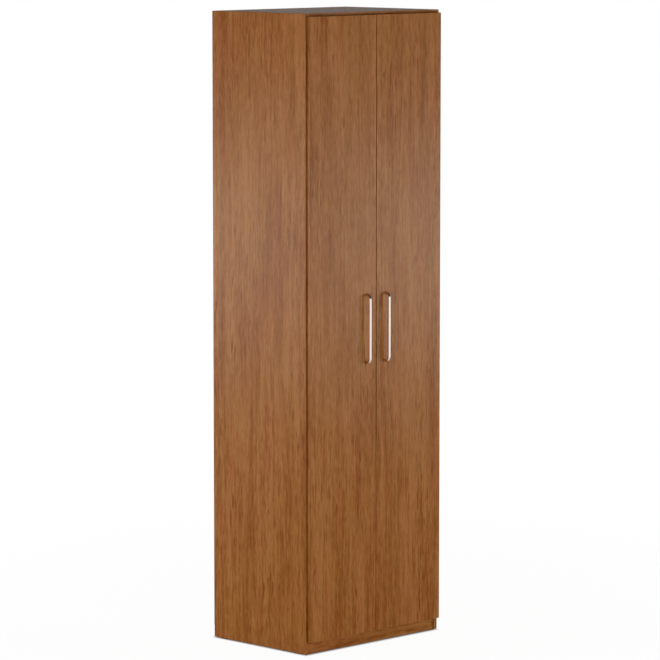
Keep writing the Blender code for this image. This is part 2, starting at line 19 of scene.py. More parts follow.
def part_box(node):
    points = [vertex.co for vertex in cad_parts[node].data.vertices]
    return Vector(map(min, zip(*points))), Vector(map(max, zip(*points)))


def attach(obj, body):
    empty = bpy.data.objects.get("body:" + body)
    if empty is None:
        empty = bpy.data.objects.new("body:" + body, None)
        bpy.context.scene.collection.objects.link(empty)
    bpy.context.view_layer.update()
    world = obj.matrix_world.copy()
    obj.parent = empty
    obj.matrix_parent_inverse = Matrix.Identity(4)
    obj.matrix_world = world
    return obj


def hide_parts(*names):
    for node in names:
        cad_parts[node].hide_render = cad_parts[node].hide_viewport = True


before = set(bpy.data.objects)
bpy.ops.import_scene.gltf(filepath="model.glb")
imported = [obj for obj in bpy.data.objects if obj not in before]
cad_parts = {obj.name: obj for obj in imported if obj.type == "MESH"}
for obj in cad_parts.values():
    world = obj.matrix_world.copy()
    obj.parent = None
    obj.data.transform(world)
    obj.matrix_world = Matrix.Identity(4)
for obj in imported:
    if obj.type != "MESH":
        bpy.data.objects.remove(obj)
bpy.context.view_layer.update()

LOG = logging.getLogger("wardrobe")
CARCASS = "carcass"
ROWS = ("front", "rear")

# Play between pieces that fit together, and how far a drill runs past a face.
FIT = 0.0003
OVERSHOOT = 0.01

# Facets of drilled holes, of small round corners and of eased edges.
HOLE_SIDES = 20
CORNER_STEPS = 5
EASE_STEPS = 2

# Edges under the first angle are shaded smooth, and edges over the last one are eased, after
# those under the middle one are dissolved.
SMOOTH_ANGLE = math.radians(35)
FLAT_ANGLE = math.radians(0.5)
SHARP_ANGLE = math.radians(40)
MERGE_DISTANCE = 2e-6
EVEN_WEIGHT = 80

Colour = tuple[float, float, float]
Place = tuple[float, float, float]
Point = tuple[float, float]
Mark = tuple[Vector, Vector]
Material = bpy.types.Material
Mesh = bpy.types.Mesh
Object = bpy.types.Object
Outputs = bpy.types.NodeOutputs
Socket = bpy.types.NodeSocket
Feed = Socket | float | tuple | str
Inputs = dict[str | int, Feed | list[Socket]]


class Axis(IntEnum):
    """Main directions of the wardrobe."""

    ACROSS = 0
    DEEP = 1
    UPRIGHT = 2


class Side(Enum):
    """The two sides of the wardrobe, as seen from the front."""

    LEFT = "left"
    RIGHT = "right"

    @property
    def sign(self) -> int:
        """Direction of the side along X."""
        return -1 if self is Side.LEFT else 1

    @property
    def door(self) -> str:
        """Name of the body that this side's door moves with."""
        return f"{self.value}_door"

    @property
    def links(self) -> str:
        """Name of the body that this side's hinge links move with."""
        return f"{self.value}_hinge_links"


class Slot(Enum):
    """Material slots of the record."""

    LAMINATE = "brown_laminate"
    HARDBOARD = "brown_hardboard"
    CHROME = "bright_chrome"
    NICKEL = "hinge_nickel"
    STEEL = "zinc_steel"
    PLASTIC = "brown_plastic"


class Skin(IntEnum):
    """Finishes of a board's faces, in the order of its materials."""

    LAMINATE = 0
    BAND = 1
    RAW = 2


class Join(Enum):
    """Ways in which one form is worked into another."""

    ADD = "UNION"
    TAKE = "DIFFERENCE"


class Bench:
    """Workbench on which the nodes of one tree are laid out and joined."""

    def __init__(self, tree: bpy.types.NodeTree) -> None:
        """Takes over a tree and clears it."""
        self.tree = tree
        tree.nodes.clear()

    def node(self, kind: str, inputs: Inputs | None = None, **settings: object) -> Outputs:
        """Adds one node.

        Args:
            kind: Blender's name of the node type.
            inputs: Inputs by name or number, each with a plain value, another node's socket,
                or a list of sockets that all join it.
            settings: Values of the node's own properties.

        Returns:
            The node's outputs.
        """
        made = self.tree.nodes.new(kind)
        for name, value in settings.items():
            setattr(made, name, value)
        for key, value in (inputs or {}).items():
            for item in value if isinstance(value, list) else [value]:
                if isinstance(item, Socket):
                    self.tree.links.new(item, made.inputs[key])
                else:
                    made.inputs[key].default_value = item
        return made.outputs

    def math(self, operation: str, *values: Feed) -> Socket:
        """Result of a plain operation on its values."""
        return self.node("ShaderNodeMath", dict(enumerate(values)), operation=operation)[0]

    def weighted(self, *parts: tuple[Feed, float]) -> Socket:
        """Adds up several values.

        Args:
            parts: Pairs of a value and its weight.

        Returns:
            The socket with the weighted sum.
        """
        total: Feed = 0.0
        for value, weight in parts:
            total = self.math("MULTIPLY_ADD", value, weight, total)
        return total

    def places(self) -> Socket:
        """Coordinates on the object itself, in metres."""
        return self.node("ShaderNodeTexCoord")["Object"]

    def parts(self, vector: Feed) -> Outputs:
        """The three numbers of a vector."""
        return self.node("ShaderNodeSeparateXYZ", {0: vector})

    def scaled(self, vector: Feed, scale: Place) -> Socket:
        """Coordinates with so many repeats per metre in each direction."""
        return self.node("ShaderNodeVectorMath", {0: vector, 1: scale}, operation="MULTIPLY")[0]

    def noise(self, vector: Feed, scale: Place, detail: float = 2.0, rough: float = 0.5) -> Socket:
        """Soft noise from about 0 to 1, with finer layers by number and strength."""
        inputs = {"Vector": self.scaled(vector, scale), "Scale": 1.0, "Detail": detail, "Roughness": rough}
        return self.node("ShaderNodeTexNoise", inputs)[0]

    def cells(self, vector: Feed, scale: Place) -> tuple[Socket, Socket]:
        """Distance from the middle of a random cell, and the cell's own shade."""
        made = self.node("ShaderNodeTexVoronoi", {"Vector": self.scaled(vector, scale), "Scale": 1.0})
        return made["Distance"], self.node("ShaderNodeSeparateColor", {0: made["Color"]})[0]

    def ramp(self, value: Feed, *stops: tuple[float, Colour]) -> Socket:
        """Turns a value into a colour.

        Args:
            value: Value from 0 to 1.
            stops: Pairs of a position and a linear colour.

        Returns:
            The socket with the colour.
        """
        made = self.node("ShaderNodeValToRGB", {0: value})[0]
        marks = made.node.color_ramp.elements
        while len(marks) < len(stops):
            marks.new(1.0)
        for mark, (position, colour) in zip(marks, stops):
            mark.position, mark.color = position, (*colour, 1.0)
        return made

    def fade(self, value: Feed, start: float, end: float) -> Socket:
        """Smooth rise from 0, where the value is at the start, to 1 at the end."""
        inputs = {"Value": value, "From Min": start, "From Max": end}
        return self.node("ShaderNodeMapRange", inputs, interpolation_type="SMOOTHSTEP")[0]

    def mix(self, share: Feed, first: Feed, second: Feed, blend: str = "MIX") -> Socket:
        """First colour with a share of the second one on it."""
        inputs = {0: share, 6: first, 7: second}
        return self.node("ShaderNodeMix", inputs, data_type="RGBA", blend_type=blend)[2]

    def relief(self, height: Feed, strength: float, distance: float) -> Socket:
        """Surface direction over a height, of which a value of 1 stands for the distance."""
        inputs = {"Height": height, "Strength": strength, "Distance": distance}
        return self.node("ShaderNodeBump", inputs)[0]

    def sight(self) -> tuple[Socket, Socket]:
        """Tells rays apart by the way they come.

        Returns:
            The sockets with 1 for a ray from the camera, and 1 for a mirrored or refracted one.
        """
        path = self.node("ShaderNodeLightPath")
        mirrored = self.math("MAXIMUM", path["Is Glossy Ray"], path["Is Transmission Ray"])
        return path["Is Camera Ray"], mirrored

    def surface(self, **inputs: Feed) -> None:
        """Ends a material with a surface, whose inputs are named with _ for a space."""
        named = {name.replace("_", " "): value for name, value in inputs.items()}
        self.node("ShaderNodeOutputMaterial", {"Surface": self.node("ShaderNodeBsdfPrincipled", named)[0]})

    def blended(self, kind: str, share: Feed, first: Socket, second: Socket) -> None:
        """Ends a Material or World with a share of the second shader over the first one."""
        shader = self.node("ShaderNodeMixShader", {0: share, 1: first, 2: second})[0]
        self.node(f"ShaderNodeOutput{kind}", {"Surface": shader})


@dataclass(frozen=True)
class Finish:
    """A finish of the wardrobe or its studio."""

    name: str

    def material(self) -> Material:
        """Makes the material.

        Returns:
            The material, with its nodes laid out.
        """
        material = bpy.data.materials.new(self.name)
        material.use_nodes = True
        self.coat(Bench(material.node_tree))
        return material

    def coat(self, bench: Bench) -> None:
        """Lays out the finish on the bench of its material."""
        raise NotImplementedError


@dataclass(frozen=True)
class Laminate(Finish):
    """Wood print under a satin film, with streaks, fibres, pores and pin knots along the grain."""

    dark: Colour
    middle: Colour
    light: Colour
    ruddy: Colour = (1.05, 0.93, 1.02)
    tawny: Colour = (0.97, 1.06, 0.80)
    tint_share: float = 0.42
    sway: float = 0.024
    rings: float = 15.0
    roughness: float = 0.28
    shine: float = 0.10

    def coat(self, bench: Bench) -> None:
        """Lays out the print, which follows the board's grain attribute.

        Args:
            bench: Bench of the material.
        """
        grain = bench.node("ShaderNodeAttribute", attribute_name="grain")["Vector"]
        drift = bench.math("MULTIPLY", bench.noise(grain, (9.0, 1.6, 1.0)), self.sway)
        sway = bench.node("ShaderNodeCombineXYZ", {0: drift})[0]
        flow = bench.node("ShaderNodeVectorMath", {0: grain, 1: sway}, operation="ADD")[0]

        bands = bench.noise(flow, (19.0, 1.5, 1.0))
        streaks = bench.noise(flow, (92.0, 2.8, 1.0), 3.0, 0.6)
        dashes = bench.noise(flow, (150.0, 26.0, 1.0), 2.0, 0.6)
        fibres = bench.noise(flow, (520.0, 24.0, 1.0), 2.0, 0.6)
        growth = bench.math("MULTIPLY", bench.noise(flow, (6.0, 0.8, 1.0), 1.0), self.rings)
        shades = ((0.0, 0.2), (0.08, 0.62), (0.62, 0.5), (1.0, 0.2))
        figure = bench.ramp(bench.math("FRACT", growth), *((at, (grey,) * 3) for at, grey in shades))
        layers = ((bands, 0.25), (streaks, 0.34), (dashes, 0.30), (fibres, 0.10), (figure, 0.05))
        tone = bench.weighted(*layers)
        colour = bench.ramp(tone, (0.39, self.dark), (0.495, self.middle), (0.60, self.light))

        warmth = bench.fade(bench.noise(flow, (40.0, 3.0, 1.0)), 0.38, 0.62)
        tints = ((*self.ruddy, 1.0), (*self.tawny, 1.0))
        tinted = [bench.mix(self.tint_share, colour, tint, "MULTIPLY") for tint in tints]
        colour = bench.mix(warmth, *tinted)

        patches = bench.fade(bench.noise(flow, (13.0, 2.0, 1.0), 1.0), 0.42, 0.60)
        flecks = bench.fade(bench.noise(flow, (150.0, 12.0, 1.0), 1.0), 0.59, 0.67)
        pores = bench.fade(bench.noise(flow, (1500.0, 60.0, 1.0), 0.0), 0.62, 0.74)
        away, shade = bench.cells(flow, (8.0, 2.6, 1.0))
        pin_knots = bench.math("MULTIPLY", bench.fade(away, 0.075, 0.02), bench.fade(shade, 0.55, 0.6))
        flecked = bench.math("MULTIPLY", flecks, patches)
        for spots, share in ((flecked, 0.95), (pores, 0.3), (pin_knots, 0.6)):
            colour = bench.mix(bench.math("MULTIPLY", spots, share), colour, (*self.dark, 1.0))

        height = bench.weighted((fibres, 0.4), (pores, -0.8))
        bench.surface(
            Base_Color=colour,
            Roughness=bench.weighted((fibres, 0.10), (pores, 0.12), (self.roughness - 0.05, 1.0)),
            Specular_IOR_Level=self.shine,
            Normal=bench.relief(height, 0.25, 0.00012),
        )


@dataclass(frozen=True)
class RawBoard(Finish):
    """Sawn chipboard, as on the edges that no band covers."""

    chip: Colour
    glue: Colour

    def coat(self, bench: Bench) -> None:
        """Lays out pressed chips and dust.

        Args:
            bench: Bench of the material.
        """
        place = bench.places()
        dust = bench.noise(place, (900.0,) * 3)
        tone = bench.weighted((bench.cells(place, (330.0,) * 3)[1], 0.6), (dust, 0.4))
        bench.surface(
            Base_Color=bench.ramp(tone, (0.15, self.glue), (0.75, self.chip)),
            Roughness=bench.weighted((dust, 0.2), (0.72, 1.0)),
            Normal=bench.relief(tone, 0.5, 0.0006),
        )


@dataclass(frozen=True)
class Hardboard(Finish):
    """Thin back sheet: printed to match on its inner face, bare pressed fibre on its outer one."""

    print_dark: Colour
    print_light: Colour
    fibre_dark: Colour
    fibre_light: Colour
    split: float

    def coat(self, bench: Bench) -> None:
        """Lays out both faces, which meet at the middle of the sheet's thickness.

        Args:
            bench: Bench of the material.
        """
        place = bench.places()
        streaks = bench.noise(place, (70.0, 1.0, 2.4), 3.0, 0.6)
        fine = bench.noise(place, (420.0, 1.0, 10.0))
        print_tone = bench.weighted((streaks, 0.7), (fine, 0.3))
        printed = bench.ramp(print_tone, (0.35, self.print_dark), (0.65, self.print_light))
        clouds = bench.noise(place, (24.0,) * 3, 3.0)
        felt = bench.noise(place, (650.0, 650.0, 420.0), 2.0, 0.7)
        bare_tone = bench.weighted((clouds, 0.30), (felt, 0.70))
        bare = bench.ramp(bare_tone, (0.34, self.fibre_dark), (0.66, self.fibre_light))
        outer = bench.math("GREATER_THAN", bench.parts(place)[Axis.DEEP], self.split)
        bench.surface(
            Base_Color=bench.mix(outer, printed, bare),
            Roughness=bench.weighted((outer, 0.22), (felt, 0.12), (0.46, 1.0)),
            Normal=bench.relief(bench.math("MULTIPLY", felt, outer), 0.4, 0.0003),
        )


@dataclass(frozen=True)
class Metal(Finish):
    """Plated or plain metal, with faint clouds in its tone and its polish."""

    tint: Colour
    shade: Colour
    roughness: float
    spread: float

    def coat(self, bench: Bench) -> None:
        """Lays out clouds and grit.

        Args:
            bench: Bench of the material.
        """
        place = bench.places()
        grit = bench.noise(place, (900.0,) * 3, 2.0, 0.6)
        tone = bench.weighted((bench.noise(place, (60.0,) * 3, 3.0), 0.7), (grit, 0.3))
        bench.surface(
            Base_Color=bench.ramp(tone, (0.3, self.shade), (0.7, self.tint)),
            Metallic=1.0,
            Roughness=bench.weighted((tone, self.spread), (self.roughness - self.spread / 2, 1.0)),
            Normal=bench.relief(grit, 0.08, 0.00005),
        )


@dataclass(frozen=True)
class Moulding(Finish):
    """Moulded plastic with a fine matt skin."""

    light: Colour
    dark: Colour
    roughness: float = 0.5

    def coat(self, bench: Bench) -> None:
        """Lays out faint clouds and the skin.

        Args:
            bench: Bench of the material.
        """
        place = bench.places()
        clouds = bench.noise(place, (40.0,) * 3)
        skin = bench.noise(place, (2200.0,) * 3, 1.0)
        bench.surface(
            Base_Color=bench.ramp(clouds, (0.3, self.dark), (0.7, self.light)),
            Roughness=bench.weighted((skin, 0.12), (self.roughness - 0.06, 1.0)),
            Normal=bench.relief(skin, 0.2, 0.00008),
        )


@dataclass(frozen=True)
class PaleFloor(Finish):
    """White studio floor with a painted glow where seen, weaker near the wardrobe and none under it, where
    its shade shows dark.
    """

    name: str = "pale_floor"
    paint: Colour = (0.86, 0.86, 0.86)
    dust: float = 0.985
    share: float = 0.88
    near_glow: float = 1.07
    near_mirrored: float = 0.70
    far_glow: float = 1.10
    far_to_near: Point = (5.0, 1.0)
    half_width: float = 0.357
    half_depth: float = 0.2505
    middle_back: float = 0.0195
    soft_edge: float = 0.012

    def coat(self, bench: Bench) -> None:
        """Lays out paint with a painted glow where it is seen, weaker near the wardrobe, most of all where
        it is mirrored.

        Args:
            bench: Bench of the material.
        """
        place = bench.places()
        dusty = tuple(self.dust * channel for channel in self.paint)
        paint = bench.ramp(bench.noise(place, (1.3,) * 3), (0.3, dusty), (0.7, self.paint))
        away = bench.node("ShaderNodeVectorMath", {0: place}, operation="LENGTH")["Value"]
        direct, mirrored = bench.sight()
        drop = bench.weighted(
            (direct, self.far_glow - self.near_glow), (mirrored, self.far_glow - self.near_mirrored)
        )
        dimmed = bench.math("MULTIPLY", bench.fade(away, *self.far_to_near), drop)
        glow = bench.math("SUBTRACT", self.far_glow, dimmed)
        # The painted glow is held back under the wardrobe, so the real shade there reads dark.
        clear = bench.math("MULTIPLY", self.clear_of_foot(bench, place), self.share)
        bench.blended(
            "Material",
            bench.math("MULTIPLY", bench.math("MAXIMUM", direct, mirrored), clear),
            bench.node("ShaderNodeBsdfDiffuse", {"Color": paint})[0],
            bench.node("ShaderNodeEmission", {"Strength": glow})[0],
        )

    def clear_of_foot(self, bench: Bench, place: Socket) -> Socket:
        """Finds where the floor lies free of the wardrobe's foot, which is where its painted glow goes.

        Args:
            bench: Bench of the material.
            place: Coordinates on the floor.

        Returns:
            The socket with 0 under the wardrobe and 1 clear of it.
        """
        across, deep, _ = bench.parts(place)
        back = bench.math("SUBTRACT", deep, self.middle_back)
        gaps = [
            bench.math("SUBTRACT", bench.math("ABSOLUTE", off), half)
            for off, half in ((across, self.half_width), (back, self.half_depth))
        ]
        return bench.fade(bench.math("MAXIMUM", *gaps), -self.soft_edge, self.soft_edge)


def mixed_finishes() -> dict[Slot, list[Material]]:
    """Makes all the materials of the wardrobe.

    Returns:
        The materials of each slot, which for laminated boards are in the order of Skin.
    """
    dark, middle, light = (0.185, 0.046, 0.002), (0.256, 0.086, 0.0135), (0.330, 0.131, 0.0350)
    # The edge bands are the print made 3% lighter: a painted lift that stands in for the light their edges
    # catch.
    print_tones, band_painted_lift = (dark, middle, light), 1.03
    band_tones_painted_lighter = [tuple(band_painted_lift * channel for channel in tone) for tone in print_tones]
    bare_dark, bare_light = (0.125, 0.066, 0.032), (0.205, 0.118, 0.062)
    low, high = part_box("back_panel")
    split = (low.y + high.y) / 2
    finishes = {
        Slot.LAMINATE: [
            Laminate("brown_laminate_grain", *print_tones),
            Laminate("brown_edge_band_painted_lighter", *band_tones_painted_lighter),
            RawBoard("sawn_chipboard", (0.42, 0.27, 0.14), (0.16, 0.085, 0.036)),
        ],
        Slot.HARDBOARD: [Hardboard("brown_hardboard_sheet", dark, light, bare_dark, bare_light, split)],
        Slot.CHROME: [Metal("polished_chrome", (0.90, 0.80, 0.73), (0.84, 0.74, 0.67), 0.08, 0.04)],
        Slot.NICKEL: [Metal("nickel_plate", (0.62, 0.60, 0.57), (0.52, 0.50, 0.48), 0.26, 0.08)],
        Slot.STEEL: [Metal("zinc_plate", (0.56, 0.56, 0.57), (0.44, 0.44, 0.45), 0.34, 0.10)],
        Slot.PLASTIC: [Moulding("brown_moulding", (0.095, 0.050, 0.027), (0.072, 0.036, 0.019))],
    }
    return {slot: [finish.material() for finish in coats] for slot, coats in finishes.items()}


def arc(centre: Point, radius: float, start: float, end: float, steps: int = CORNER_STEPS) -> list[Point]:
    """Draws an arc in the plane.

    Args:
        centre: Centre of the arc.
        radius: Radius of the arc.
        start: First angle in degrees.
        end: Last angle in degrees.
        steps: Number of straight pieces.

    Returns:
        The points of the arc.
    """
    angles = [math.radians(start + (end - start) * i / steps) for i in range(steps + 1)]
    return [(centre[0] + radius * math.cos(a), centre[1] + radius * math.sin(a)) for a in angles]


def round_ended(centre: Point, half_length: float, radius: float, steps: int = 16) -> list[Point]:
    """Draws a strip with round ends that runs along the second coordinate.

    Args:
        centre: Middle of the strip.
        half_length: Half of its whole length.
        radius: Radius of its ends.
        steps: Straight pieces of each end.

    Returns:
        The points of the outline.
    """
    straight = half_length - radius
    upper = arc((centre[0], centre[1] + straight), radius, 0, 180, steps)
    lower = arc((centre[0], centre[1] - straight), radius, 180, 360, steps)
    return upper + lower


def on_axis(axis: Axis, first: float, second: float, along: float) -> Vector:
    """Places a point whose third coordinate runs along an axis.

    Args:
        axis: Axis of the third coordinate.
        first: First of the other two coordinates.
        second: Second of the other two coordinates.
        along: Coordinate on the axis.

    Returns:
        The point in X, Y, Z order.
    """
    point = [first, second]
    point.insert(axis, along)
    return Vector(point)


def middle_of(node: str) -> Vector:
    """Middle of a node of the frame."""
    low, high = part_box(node)
    return (low + high) / 2


def inner_face(side: Side) -> float:
    """World X of the inner face of a side panel."""
    low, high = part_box(f"{side.value}_side_panel")
    return low.x if side is Side.RIGHT else high.x


def linked(name: str, data: bpy.types.ID) -> Object:
    """Puts a new object into the scene.

    Args:
        name: Name of the object.
        data: Its mesh, lamp or camera.

    Returns:
        The object.
    """
    obj = bpy.data.objects.new(name, data)
    bpy.context.scene.collection.objects.link(obj)
    return obj


class Form:
    """Mesh under work, with the plain shapes that are sawn, folded or turned."""

    def __init__(self) -> None:
        """Starts with nothing."""
        self.mesh = bmesh.new()

    def box(self, low: Sequence[float], high: Sequence[float], rounding: float, steps: int = 3) -> "Form":
        """Adds a box with eased edges.

        Args:
            low: Lowest corner.
            high: Highest corner.
            rounding: Radius of the edges.
            steps: Facets across each edge.

        Returns:
            This form.
        """
        low, high = Vector(low), Vector(high)
        place = Matrix.Translation((low + high) / 2) @ Matrix.Diagonal((*(high - low), 1.0))
        made = bmesh.ops.create_cube(self.mesh, size=1.0, matrix=place)
        edges = list({edge for vert in made["verts"] for edge in vert.link_edges})
        bmesh.ops.bevel(self.mesh, geom=edges, offset=rounding, segments=steps, profile=0.5, affect="EDGES")
        return self

    def prism(self, outline: Sequence[Point], axis: Axis, start: float, end: float) -> "Form":
        """Adds an outline drawn out along an axis.

        Args:
            outline: Points of the outline.
            axis: Axis along which it is drawn out.
            start: Where it starts on the axis.
            end: Where it ends on the axis.

        Returns:
            This form.
        """
        self.bridge([[on_axis(axis, *point, along) for point in outline] for along in (start, end)])
        return self

    def turned(
        self, profile: Sequence[Point], axis: Axis, centre: Sequence[float], sides: int, tube: bool = False
    ) -> "Form":
        """Adds a profile turned about an axis.

        Args:
            profile: Points of radius and place on the axis.
            axis: Axis of the turning.
            centre: Point on the axis from which places are counted.
            sides: Facets around the axis.
            tube: Whether the profile closes on itself instead of having flat ends.

        Returns:
            This form.
        """
        centre = Vector(centre)
        turns = [2 * math.pi * i / sides for i in range(sides)]
        rings = [
            [centre + on_axis(axis, radius * math.cos(t), radius * math.sin(t), along) for t in turns]
            for radius, along in profile
        ]
        self.bridge(rings, tube)
        return self

    def rod(
        self, radius: float, axis: Axis, centre: Sequence[float], start: float, end: float, sides: int
    ) -> "Form":
        """Adds a plain round rod.

        Args:
            radius: Radius of the rod.
            axis: Axis of the rod.
            centre: Point on the axis from which places are counted.
            start: Where the rod starts.
            end: Where the rod ends.
            sides: Facets around the rod.

        Returns:
            This form.
        """
        return self.turned([(radius, start), (radius, end)], axis, centre, sides)

    def bridge(self, loops: Sequence[Sequence[Vector]], tube: bool = False) -> None:
        """Joins each loop of points to the next one with a ring of faces.

        Args:
            loops: The loops, with equally many points.
            tube: Whether the last loop joins the first one, instead of flat ends.
        """
        rings = [[self.mesh.verts.new(point) for point in loop] for loop in loops]
        if tube:
            rings.append(rings[0])
        else:
            self.mesh.faces.new(rings[0])
            self.mesh.faces.new(rings[-1])
        for first, second in zip(rings, rings[1:]):
            for i in range(len(first)):
                j = (i + 1) % len(first)
                self.mesh.faces.new((first[i], first[j], second[j], second[i]))

    def to_object(self, name: str) -> Object:
        """Ends the work on the form.

        Args:
            name: Name of the object.

        Returns:
            An object of the scene, with its faces turned outwards.
        """
        bmesh.ops.recalc_face_normals(self.mesh, faces=self.mesh.faces)
        mesh = bpy.data.meshes.new(name)
        self.mesh.to_mesh(mesh)
        self.mesh.free()
        return linked(name, mesh)


def baked(*objects: Object) -> Mesh:
    """Turns an object with its modifiers into a plain mesh, and clears it away.

    Args:
        objects: The object, and helpers that are cleared away with it.

    Returns:
        A mesh of its own with the modifiers' result.
    """
    graph = bpy.context.evaluated_depsgraph_get()
    mesh = bpy.data.meshes.new_from_object(objects[0].evaluated_get(graph))
    for spare in objects:
        bpy.data.objects.remove(spare, do_unlink=True)
    return mesh


def worked(name: str, base: Form, *steps: tuple[Join, Form], easing: float = 0.0) -> Mesh:
    """Works several forms into one, and eases its sharp edges.

    Args:
        name: Name of the work.
        base: Form to start from.
        steps: How each further form is worked in.
        easing: Radius that is taken off sharp edges.

    Returns:
        The mesh of all the forms.
    """
    obj = base.to_object(name)
    helpers = []
    for join, form in steps:
        helper = form.to_object(f"{name}_helper")
        modifier = obj.modifiers.new(join.name.lower(), "BOOLEAN")
        modifier.operation, modifier.solver, modifier.object = join.value, "EXACT", helper
        helpers.append(helper)
    if easing:
        clean = obj.modifiers.new("clean", "DECIMATE")
        clean.decimate_type, clean.angle_limit = "DISSOLVE", FLAT_ANGLE
        ease = obj.modifiers.new("ease", "BEVEL")
        ease.width, ease.segments = easing, EASE_STEPS
        ease.limit_method, ease.angle_limit = "ANGLE", SHARP_ANGLE
    return baked(obj, *helpers)


def settled(mesh: Mesh, name: str) -> Mesh:
    """Merges doubles, turns faces outwards and evens the shading of flat faces.

    Args:
        mesh: Mesh of one or more closed shapes.
        name: Name of the result.

    Returns:
        The finished mesh.
    """
    form = bmesh.new()
    form.from_mesh(mesh)
    bmesh.ops.remove_doubles(form, verts=form.verts, dist=MERGE_DISTANCE)
    bmesh.ops.recalc_face_normals(form, faces=form.faces)
    form.to_mesh(mesh)
    form.free()
    mesh.shade_smooth()
    mesh.set_sharp_from_angle(angle=SMOOTH_ANGLE)
    obj = linked(name, mesh)
    even = obj.modifiers.new("even", "WEIGHTED_NORMAL")
    even.keep_sharp, even.weight = True, EVEN_WEIGHT
    made = baked(obj)
    made.name = name
    return made


class NodeWork(Bench):
    """Geometry nodes that make a mesh by rule, with named inputs for its sizes."""

    def __init__(self, name: str) -> None:
        """Starts a tree with a geometry input."""
        super().__init__(bpy.data.node_groups.new(name, "GeometryNodeTree"))
        self.keys: dict[str, str] = {}
        self.source = self.node("NodeGroupInput")
        [self.geometry] = self.take("Geometry", "Geometry")

    def take(self, kind: str, *names: str) -> list[Socket]:
        """Adds named inputs.

        Args:
            kind: What they hold: Geometry, Float or Int.
            names: Names of the inputs.

        Returns:
            The sockets that give their values inside the tree.
        """
        sockets = self.tree.interface
        for name in names:
            made = sockets.new_socket(name=name, in_out="INPUT", socket_type=f"NodeSocket{kind}")
            self.keys[name] = made.identifier
        return [self.source[name] for name in names]

    def vector(self, x: Feed = 0.0, y: Feed = 0.0, z: Feed = 0.0) -> Socket:
        """Joins three values into a vector."""
        return self.node("ShaderNodeCombineXYZ", {0: x, 1: y, 2: z})[0]

    def raised(self, shape: Feed, height: Feed) -> Socket:
        """Shape moved up to a height."""
        inputs = {"Geometry": shape, "Translation": self.vector(z=height)}
        return self.node("GeometryNodeTransform", inputs)[0]

    def cylinder(self, sides: int, radius: Feed, height: Feed) -> Socket:
        """Cylinder about the origin."""
        inputs = {"Vertices": sides, "Radius": radius, "Depth": height}
        return self.node("GeometryNodeMeshCylinder", inputs)[0]

    def cone(self, sides: int, radius: Feed, top: float, height: Feed) -> Socket:
        """Blunt cone on the ground plane, whose top has a share of its radius."""
        radii = {"Radius Top": self.math("MULTIPLY", radius, top), "Radius Bottom": radius}
        return self.node("GeometryNodeMeshCone", {"Vertices": sides, "Depth": height, **radii})[0]

    def copied(self, points: Feed, shape: Feed, turn: Feed = (0.0, 0.0, 0.0)) -> Socket:
        """Copies of a shape on every point, each turned in the same or its own way."""
        inputs = {"Points": points, "Instance": shape, "Rotation": turn}
        return self.node("GeometryNodeInstanceOnPoints", inputs)[0]

    def finish(self, shape: Feed) -> None:
        """Makes all copies real and ends the tree.

        Args:
            shape: Socket with the copies or the mesh.
        """
        real = self.node("GeometryNodeRealizeInstances", {0: shape})[0]
        self.tree.interface.new_socket(name="Geometry", in_out="OUTPUT", socket_type="NodeSocketGeometry")
        self.node("NodeGroupOutput", {0: real})

    def run(self, name: str, mesh: Mesh, **values: float) -> Mesh:
        """Runs the tree on a mesh.

        Args:
            name: Name of the result.
            mesh: Mesh that the tree starts from.
            values: Input names, in small letters and with _ for a space, and their values.

        Returns:
            The finished mesh.
        """
        obj = linked(name, mesh)
        modifier = obj.modifiers.new(name, "NODES")
        modifier.node_group = self.tree
        for key, value in values.items():
            modifier[self.keys[key.replace("_", " ").title()]] = value
        return settled(baked(obj), name)


@dataclass(frozen=True)
class ScrewSize:
    """Sizes of one kind of screw."""

    head_radius: float
    head_height: float
    shaft_radius: float
    shaft_length: float


